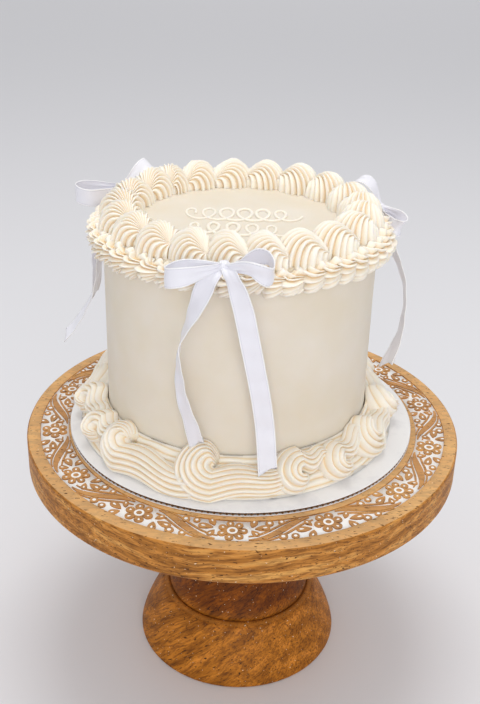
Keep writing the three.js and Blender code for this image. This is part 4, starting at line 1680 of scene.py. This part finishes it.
@dataclass(frozen=True)
class Loop:
    """One loop of a bow, out from the knot and back.

    reach is how far it stands out, belly how far its two layers bow apart, and lift how far its end
    stands above the knot. arch and wave raise and bend both layers between knot and end, spread sets
    them at different heights, and fold leans the ribbon back at the end. swing, tilt and roll turn the
    whole loop: away from the cake, up, and about its own length.
    """

    reach: float
    belly: float
    lift: float = 0.0
    arch: float = 0.0
    wave: float = 0.0
    spread: float = 0.0
    fold: float = 0.0
    swing: float = 0.0
    tilt: float = 0.0
    roll: float = 0.0


LEVEL_LOOP = Loop(reach=26.5, belly=7.5, lift=-5.0, spread=-0.9)
ROLLED_LOOP = Loop(reach=22.5, belly=5.4, lift=-0.2, arch=4.2, wave=1.9, tilt=2, roll=22, spread=-0.4)
STANDING_LOOP = Loop(reach=20.5, belly=4.8, swing=55, tilt=57, roll=70)


@dataclass(frozen=True)
class Tail:
    """A hanging tail: keys of angle, distance from the axis, height and turn, and the end's slant."""

    slant: float
    keys: tuple[tuple[float, float, float, float], ...]


@dataclass
class RibbonBow:
    """A tied bow of narrow satin ribbon: two loops, a wrapped knot and two tails.

    angle, height and knot_from_axis place the knot. pleats is the depth of the gathers where the
    ribbon is narrow at the knot, cup that of its hollow, edge_bead that of its woven edges, and pucker
    that of the soft waves along it.
    """

    name: str
    cake: Round
    angle: float
    height: float
    clockwise: Loop
    counter: Loop
    tails: tuple[Tail, ...]
    width: float = 10.0
    thickness: float = 0.3
    knot_width: float = 4.0
    knot_radius: float = 3.0
    knot_half_length: float = 2.7
    knot_from_axis: float = 87.5
    loop_start: float = 0.5
    loop_end_out: float = 1.2
    fold_back: float = 0.35
    pleats: float = 0.35
    cup: float = 0.18
    edge_bead: float = 0.05
    pucker: float = 0.35
    pucker_lengths: tuple[float, float] = (3.1, 7.7)
    cells: int = 18
    loop_steps: int = 110
    tail_steps: int = 130

    def strip(
        self, points: np.ndarray, across: np.ndarray, widths: np.ndarray, steps: int, slant: float
    ) -> tuple[Skin, float]:
        """A strip of ribbon along keys.

        Args:
            points: Key points of the middle line.
            across: Way the width lies at each key.
            widths: Width at each key.
            steps: Steps along the strip.
            slant: Slant of the cut end.

        Returns:
            The closed skin, marked with across from -1 to 1 and run in millimetres, and its length.
        """
        fine = np.linspace(0, len(points) - 1, 400)
        line = through(points, fine)
        run = np.concatenate([[0], np.cumsum(np.linalg.norm(np.diff(line, axis=0), axis=1))])
        reached = np.linspace(0, run[-1], steps + 1)
        place = np.interp(reached, run, fine)
        line = through(points, place)
        along = unit(np.gradient(line, axis=0))
        lie = through(across, place)
        lie = unit(lie - (lie * along).sum(axis=1, keepdims=True) * along)
        facing = np.cross(along, lie)
        width = np.interp(place, np.arange(len(widths)), widths)
        side = np.linspace(-1, 1, self.cells + 1)
        gather = np.clip((self.width - width) / (self.width - self.knot_width), 0, 1)
        ripple = np.sin(2.5 * math.pi * side)[None, :] * (self.pleats * gather)[:, None]
        cup = self.cup * (side**2 - 0.33)[None, :] * np.ones_like(gather)[:, None]
        length = reached[:, None]
        short, long = (length / stretch for stretch in self.pucker_lengths)
        cup = cup + self.pucker * np.sin(short + 1.3 * side) * np.sin(long - 2.1 * side)
        middle = (
            line[:, None, :]
            + lie[:, None, :] * (side[None, :] * width[:, None] / 2)[..., None]
            + facing[:, None, :] * (ripple + cup)[..., None]
        )
        middle[-1] += along[-1] * (side * slant)[:, None]
        bead = self.edge_bead * (np.abs(side) > 0.88)[None, :]
        half = (self.thickness / 2 + bead)[..., None] * facing[:, None, :]
        rings = np.concatenate([middle + half, (middle - half)[:, ::-1]], axis=1)
        across_mark = np.tile(np.concatenate([side, side[::-1]]), (steps + 1, 1))
        run_mark = np.tile(length, (1, rings.shape[1]))
        return lofted(rings, {"across": across_mark, "run": run_mark}), float(run[-1])

    def loop(self, loop: Loop, knot: np.ndarray, way: Way) -> tuple[Skin, float]:
        """One loop of the bow.

        Args:
            loop: Its form.
            knot: Middle of the knot.
            way: Way round the cake that it points.

        Returns:
            The skin and the ribbon's length.
        """
        side = way.value
        heading = turned_about(tangent_at(self.angle) * side, UP, side * loop.swing)
        outward = turned_about(outward_at(self.angle), UP, side * loop.swing)
        run = np.linspace(0, 1, 21)[:, None]
        far, apart = np.sin(math.pi * run), np.sin(2 * math.pi * run)
        points = (
            heading * (loop.reach * far + self.loop_start)
            + outward * (loop.belly * (0.5 * far - apart) + self.loop_end_out * run)
            + UP * (loop.lift * far + loop.arch * apart**2 + loop.spread * apart + self.loop_start * run)
            - UP * loop.wave * np.sin(4 * math.pi * run)
        )
        across = UP + outward * loop.fold * far**2 - heading * self.fold_back * loop.fold * far**2
        level = np.cross(heading, UP)
        for axis, degrees in ((heading, side * loop.roll), (level, loop.tilt)):
            points, across = turned_about(points, axis, degrees), turned_about(across, axis, degrees)
        widths = mix(self.knot_width, self.width, smoothstep(0, 0.75, far[:, 0]))
        return self.strip(points + knot, across, widths, self.loop_steps, 0)

    def tail(self, tail: Tail) -> tuple[Skin, float]:
        """One tail, which is at its full width from its fourth key.

        Args:
            tail: Its form.

        Returns:
            The skin and the ribbon's length.
        """
        angle, radius, height, turn = np.array(tail.keys, float).T
        across = np.stack([turned_about(tangent_at(a), UP, -t) for a, t in zip(angle, turn)])
        widths = mix(self.knot_width, self.width, np.minimum(1, np.arange(len(angle)) / 3))
        return self.strip(self.cake.at(angle, radius, height), across, widths, self.tail_steps, tail.slant)

    def knot(self, centre: np.ndarray) -> Skin:
        """The ribbon wrapped round the middle, as a pleated band with open folds.

        Args:
            centre: Middle of the knot.

        Returns:
            The closed skin, marked as the strips are.
        """
        along, out = tangent_at(self.angle), outward_at(self.angle)
        place = np.linspace(-1, 1, 26)
        turn = np.linspace(0, 2 * math.pi, 56, endpoint=False)
        swell = np.sqrt(np.maximum(1 - 0.72 * np.abs(place) ** 2.6, 0.05))[:, None]
        folds = 1 + 0.05 * np.sin(5 * math.pi * place)[:, None] * (0.6 + 0.4 * np.sin(turn))[None, :]
        reach = self.knot_radius * swell * folds
        rings = (
            centre
            + along * (self.knot_half_length * place)[:, None, None]
            + out * (0.95 * reach * np.cos(turn))[..., None]
            + UP * (1.02 * reach * np.sin(turn))[..., None]
        )
        across = 0.8 * place[:, None] * np.ones_like(turn)
        run = self.knot_radius * turn[None, :] * np.ones((len(place), 1))
        return lofted(rings, {"across": across, "run": run})

    def build(self, satin: bpy.types.Material) -> list[bpy.types.Object]:
        """Writes the bow as one sheet of ribbon.

        Args:
            satin: Finish of the ribbon.

        Returns:
            The bow as the only piece.
        """
        knot = self.cake.at(self.angle, self.knot_from_axis, self.height)
        parts = [self.loop(self.clockwise, knot, Way.CLOCKWISE), self.loop(self.counter, knot, Way.COUNTER)]
        parts += [self.tail(tail) for tail in self.tails]
        skins = [part[0] for part in parts] + [self.knot(knot)]
        piece = write_piece(self.name, joined(skins), satin, Slot.RIBBON, self.name.replace("ribbon", "bow"))
        return [piece]


FRONT_TAILS = (
    Tail(-4.4, (
        (-94.9, 88.4, 285.8, 0), (-96.2, 91.2, 284.6, 10), (-97.8, 92.2, 281.6, 20), (-99.2, 92, 278.3, 20),
        (-101.5, 90.5, 269.6, 29), (-105.4, 88, 256.3, 56), (-108.6, 85.8, 243.2, 72),
        (-109.7, 84, 227.1, 47), (-108.6, 82.8, 209.7, 28), (-105.2, 82, 192.6, 18), (-103.6, 82, 184.6, 12),
    )),
    Tail(-3.1, (
        (-94, 88.4, 286.2, 0), (-93, 91.4, 286.2, 10), (-91.7, 93.2, 283.5, 25), (-90.2, 93, 278, 25),
        (-88.2, 91, 266.2, 8), (-85.9, 88, 249.1, 4), (-83.5, 85.5, 231.4, 6), (-81.1, 84, 213.6, 9),
        (-79.3, 84, 195.9, 11), (-78.9, 86.5, 185.5, 11), (-78.6, 89, 174.6, 12),
    )),
)
RIGHT_TAILS = (
    Tail(5, (
        (22.6, 88.4, 276.6, 0), (21.8, 91.6, 274.5, 0), (21.2, 93.2, 267, -6), (20.5, 95.3, 254.1, -4),
        (19.2, 98.4, 245.8, 0), (18, 101, 238, 5), (15.9, 103.2, 220.6, 16), (13.5, 99.7, 202.3, 8),
        (12.2, 96.4, 194.3, -3), (11.1, 92, 184.5, -18),
    )),
    Tail(-3.1, (
        (23.4, 88.4, 276.8, 0), (25.2, 92.4, 275, 0), (27, 92.4, 268, 0), (29.4, 90, 257, 0),
        (31, 87.4, 242, 0), (32.4, 85.4, 226, 0), (33.8, 84.4, 210, 0), (35, 86, 196, 0), (35.6, 89, 186, 0),
    )),
)
BACK_LEFT_TAILS = (
    Tail(2.7, (
        (144.6, 88.4, 279, 0), (147.5, 92.2, 277.4, 0), (151, 92.4, 270, 0), (155, 90.5, 257, -5),
        (157.4, 90.1, 244.1, -8), (158, 92.2, 229.9, -15), (159.1, 97.1, 213.3, -28),
        (161, 106.6, 196.8, -40), (162, 112, 189.6, -42),
    )),
    Tail(2.7, (
        (143.4, 88.4, 279.2, 0), (146, 94, 277.8, 0), (149, 97, 270, 0), (151.4, 98, 257, 0),
        (152.4, 98.2, 242, 0), (152.6, 98.5, 231, 0), (152.6, 99.4, 221, -5), (152.8, 100.4, 213, -10),
    )),
)


# Studio


@dataclass(frozen=True)
class Softbox:
    """A square area light: its place, size and target in metres and its power in watts."""

    name: str
    place: tuple[float, float, float]
    size: float
    watts: float
    target: tuple[float, float, float] = (0, 0, 0.22)
    colour: str = "fffdf9"

    def build(self) -> None:
        """Hangs the light, turned to its target."""
        data = bpy.data.lights.new(self.name, "AREA")
        data.shape = "SQUARE"
        data.size = self.size
        data.energy = self.watts
        data.color = linear(self.colour)[:3]
        light = bpy.data.objects.new(self.name, data)
        light.location = self.place
        light.rotation_euler = (Vector(self.target) - Vector(self.place)).to_track_quat("-Z", "Y").to_euler()
        bpy.context.scene.collection.objects.link(light)


@dataclass
class Studio:
    """Pale floor, soft lights and the camera. The floor's half side is in metres, the image in pixels."""

    floor_colour: str = "e8e8ed"
    floor_roughness: float = 0.7
    floor_half: float = 6.0
    sky_colour: str = "f6f6f6"
    sky_strength: float = 0.66
    lights: tuple[Softbox, ...] = (
        Softbox("key_softbox", (0.0, 0.15, 1.55), 0.7, 7.1),
        Softbox("fill_softbox", (0.2, -1.8, 1.0), 1.4, 13.3),
        Softbox("backdrop_softbox", (0.2, 4.2, 2.4), 2.0, 6.5, target=(0.2, 4.2, 0)),
    )
    camera_place: tuple[float, float, float] = (0.0, -506.9, 454.5)
    pitch: float = 25.354
    roll: float = 1.648
    sensor: float = 36.0
    focal_pixels: float = 974.9
    image_size: tuple[int, int] = (480, 704)
    principal_point: tuple[float, float] = (245.37, 327.64)

    def build_camera(self) -> None:
        """Camera at the photograph's viewing angle."""
        data = bpy.data.cameras.new("camera")
        width, height = self.image_size
        data.sensor_width = self.sensor
        data.lens = self.focal_pixels / height * self.sensor
        data.shift_x = (width / 2 - self.principal_point[0]) / height
        data.shift_y = (self.principal_point[1] - height / 2) / height
        data.clip_start, data.clip_end = 0.01, 20.0
        camera = bpy.data.objects.new("camera", data)
        bpy.context.scene.collection.objects.link(camera)
        tilt = Matrix.Rotation(math.radians(90 - self.pitch), 4, "X")
        roll = Matrix.Rotation(math.radians(self.roll), 4, "Z")
        camera.matrix_world = Matrix.Translation(Vector(self.camera_place) * MM) @ tilt @ roll
        bpy.context.scene.camera = camera

    def build_floor(self) -> None:
        """Plain pale floor, matt as sealed paper."""
        mesh = bpy.data.meshes.new("floor")
        half = self.floor_half
        corners = [(-half, -half, 0), (half, -half, 0), (half, half, 0), (-half, half, 0)]
        mesh.from_pydata(corners, [], [(0, 1, 2, 3)])
        paper = {"Base Color": self.floor_colour, "Roughness": self.floor_roughness}
        mesh.materials.append(Surface("pale_floor").finished(paper))
        floor = bpy.data.objects.new("floor", mesh)
        bpy.context.scene.collection.objects.link(floor)

    def build(self) -> None:
        """Camera, floor, lights and sky."""
        bpy.context.scene.view_settings.view_transform = "Standard"
        self.build_camera()
        self.build_floor()
        for light in self.lights:
            light.build()
        world = bpy.data.worlds.new("studio")
        bpy.context.scene.world = world
        world.use_nodes = True
        background = world.node_tree.nodes["Background"]
        background.inputs["Color"].default_value = linear(self.sky_colour)
        background.inputs["Strength"].default_value = self.sky_strength


def main() -> None:
    """Builds the stand, the board, the cake, its borders and bows, and the studio."""
    cake = replace(Round.of("cake_body"), top=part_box("top_border")[0][2] / MM - CLEARANCE)
    golden = OiledMangoWood("oiled_mango_wood", "dfa55a", "ca883e", "a96e2c", "452408", "e6bd88")
    carved = replace(golden, name="carved_mango_wood", top_tint="c6996a")
    brown = OiledMangoWood(
        "dark_oiled_mango_wood", "de8e34", "c07822", "a06016", "301804", "b07434", tilt=(0.2, 0.7, 0.4),
        stretch=(0.12, 0.7, 1.0), ring_width=11, ring_strength=0.16,
    )
    finishes = (
        PipedButtercream(), SmoothedButtercream(), PolyesterSatin(), BrushedWhitewash(), CoatedPaper(),
        KraftFluting(),
    )
    piped, smoothed, satin, whitewash, paper, kraft = (finish.build() for finish in finishes)
    right_level = replace(LEVEL_LOOP, reach=18.8, belly=3.6, lift=0, fold=0.6, tilt=-19)
    back_standing = replace(STANDING_LOOP, reach=23, swing=12, tilt=30, roll=50)
    back_level = replace(LEVEL_LOOP, reach=29.5, lift=0.6, swing=-6)
    pieces = [
        *CarvedPlate(Round.of("stand_plate")).build(golden.build(), carved.build(), whitewash),
        *TurnedFoot(Round.of("stand_foot")).build(brown.build()),
        *CakeBoard(Round.of("cake_board")).build(paper, kraft),
        *CakeBody(cake).build(smoothed, piped),
        *TopBorder(cake, cake.top).build(piped),
        *EdgeBorder(cake, cake.top).build(piped),
        *BaseBorder(cake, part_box("base_border")[0][2] / MM).build(piped),
    ]
    for bow in (
        RibbonBow("ribbon_front", cake, -94.3, 286.4, LEVEL_LOOP, ROLLED_LOOP, FRONT_TAILS),
        RibbonBow("ribbon_right", cake, 23, 277, right_level, STANDING_LOOP, RIGHT_TAILS),
        RibbonBow("ribbon_back_left", cake, 144, 279.4, back_standing, back_level, BACK_LEFT_TAILS),
    ):
        pieces += bow.build(satin)
    for piece in pieces:
        LOG.info("%s: %d points, %d faces", piece.name, len(piece.data.vertices), len(piece.data.polygons))
    Studio().build()


if __name__ == "__main__":
    logging.basicConfig(level=logging.INFO)
    main()
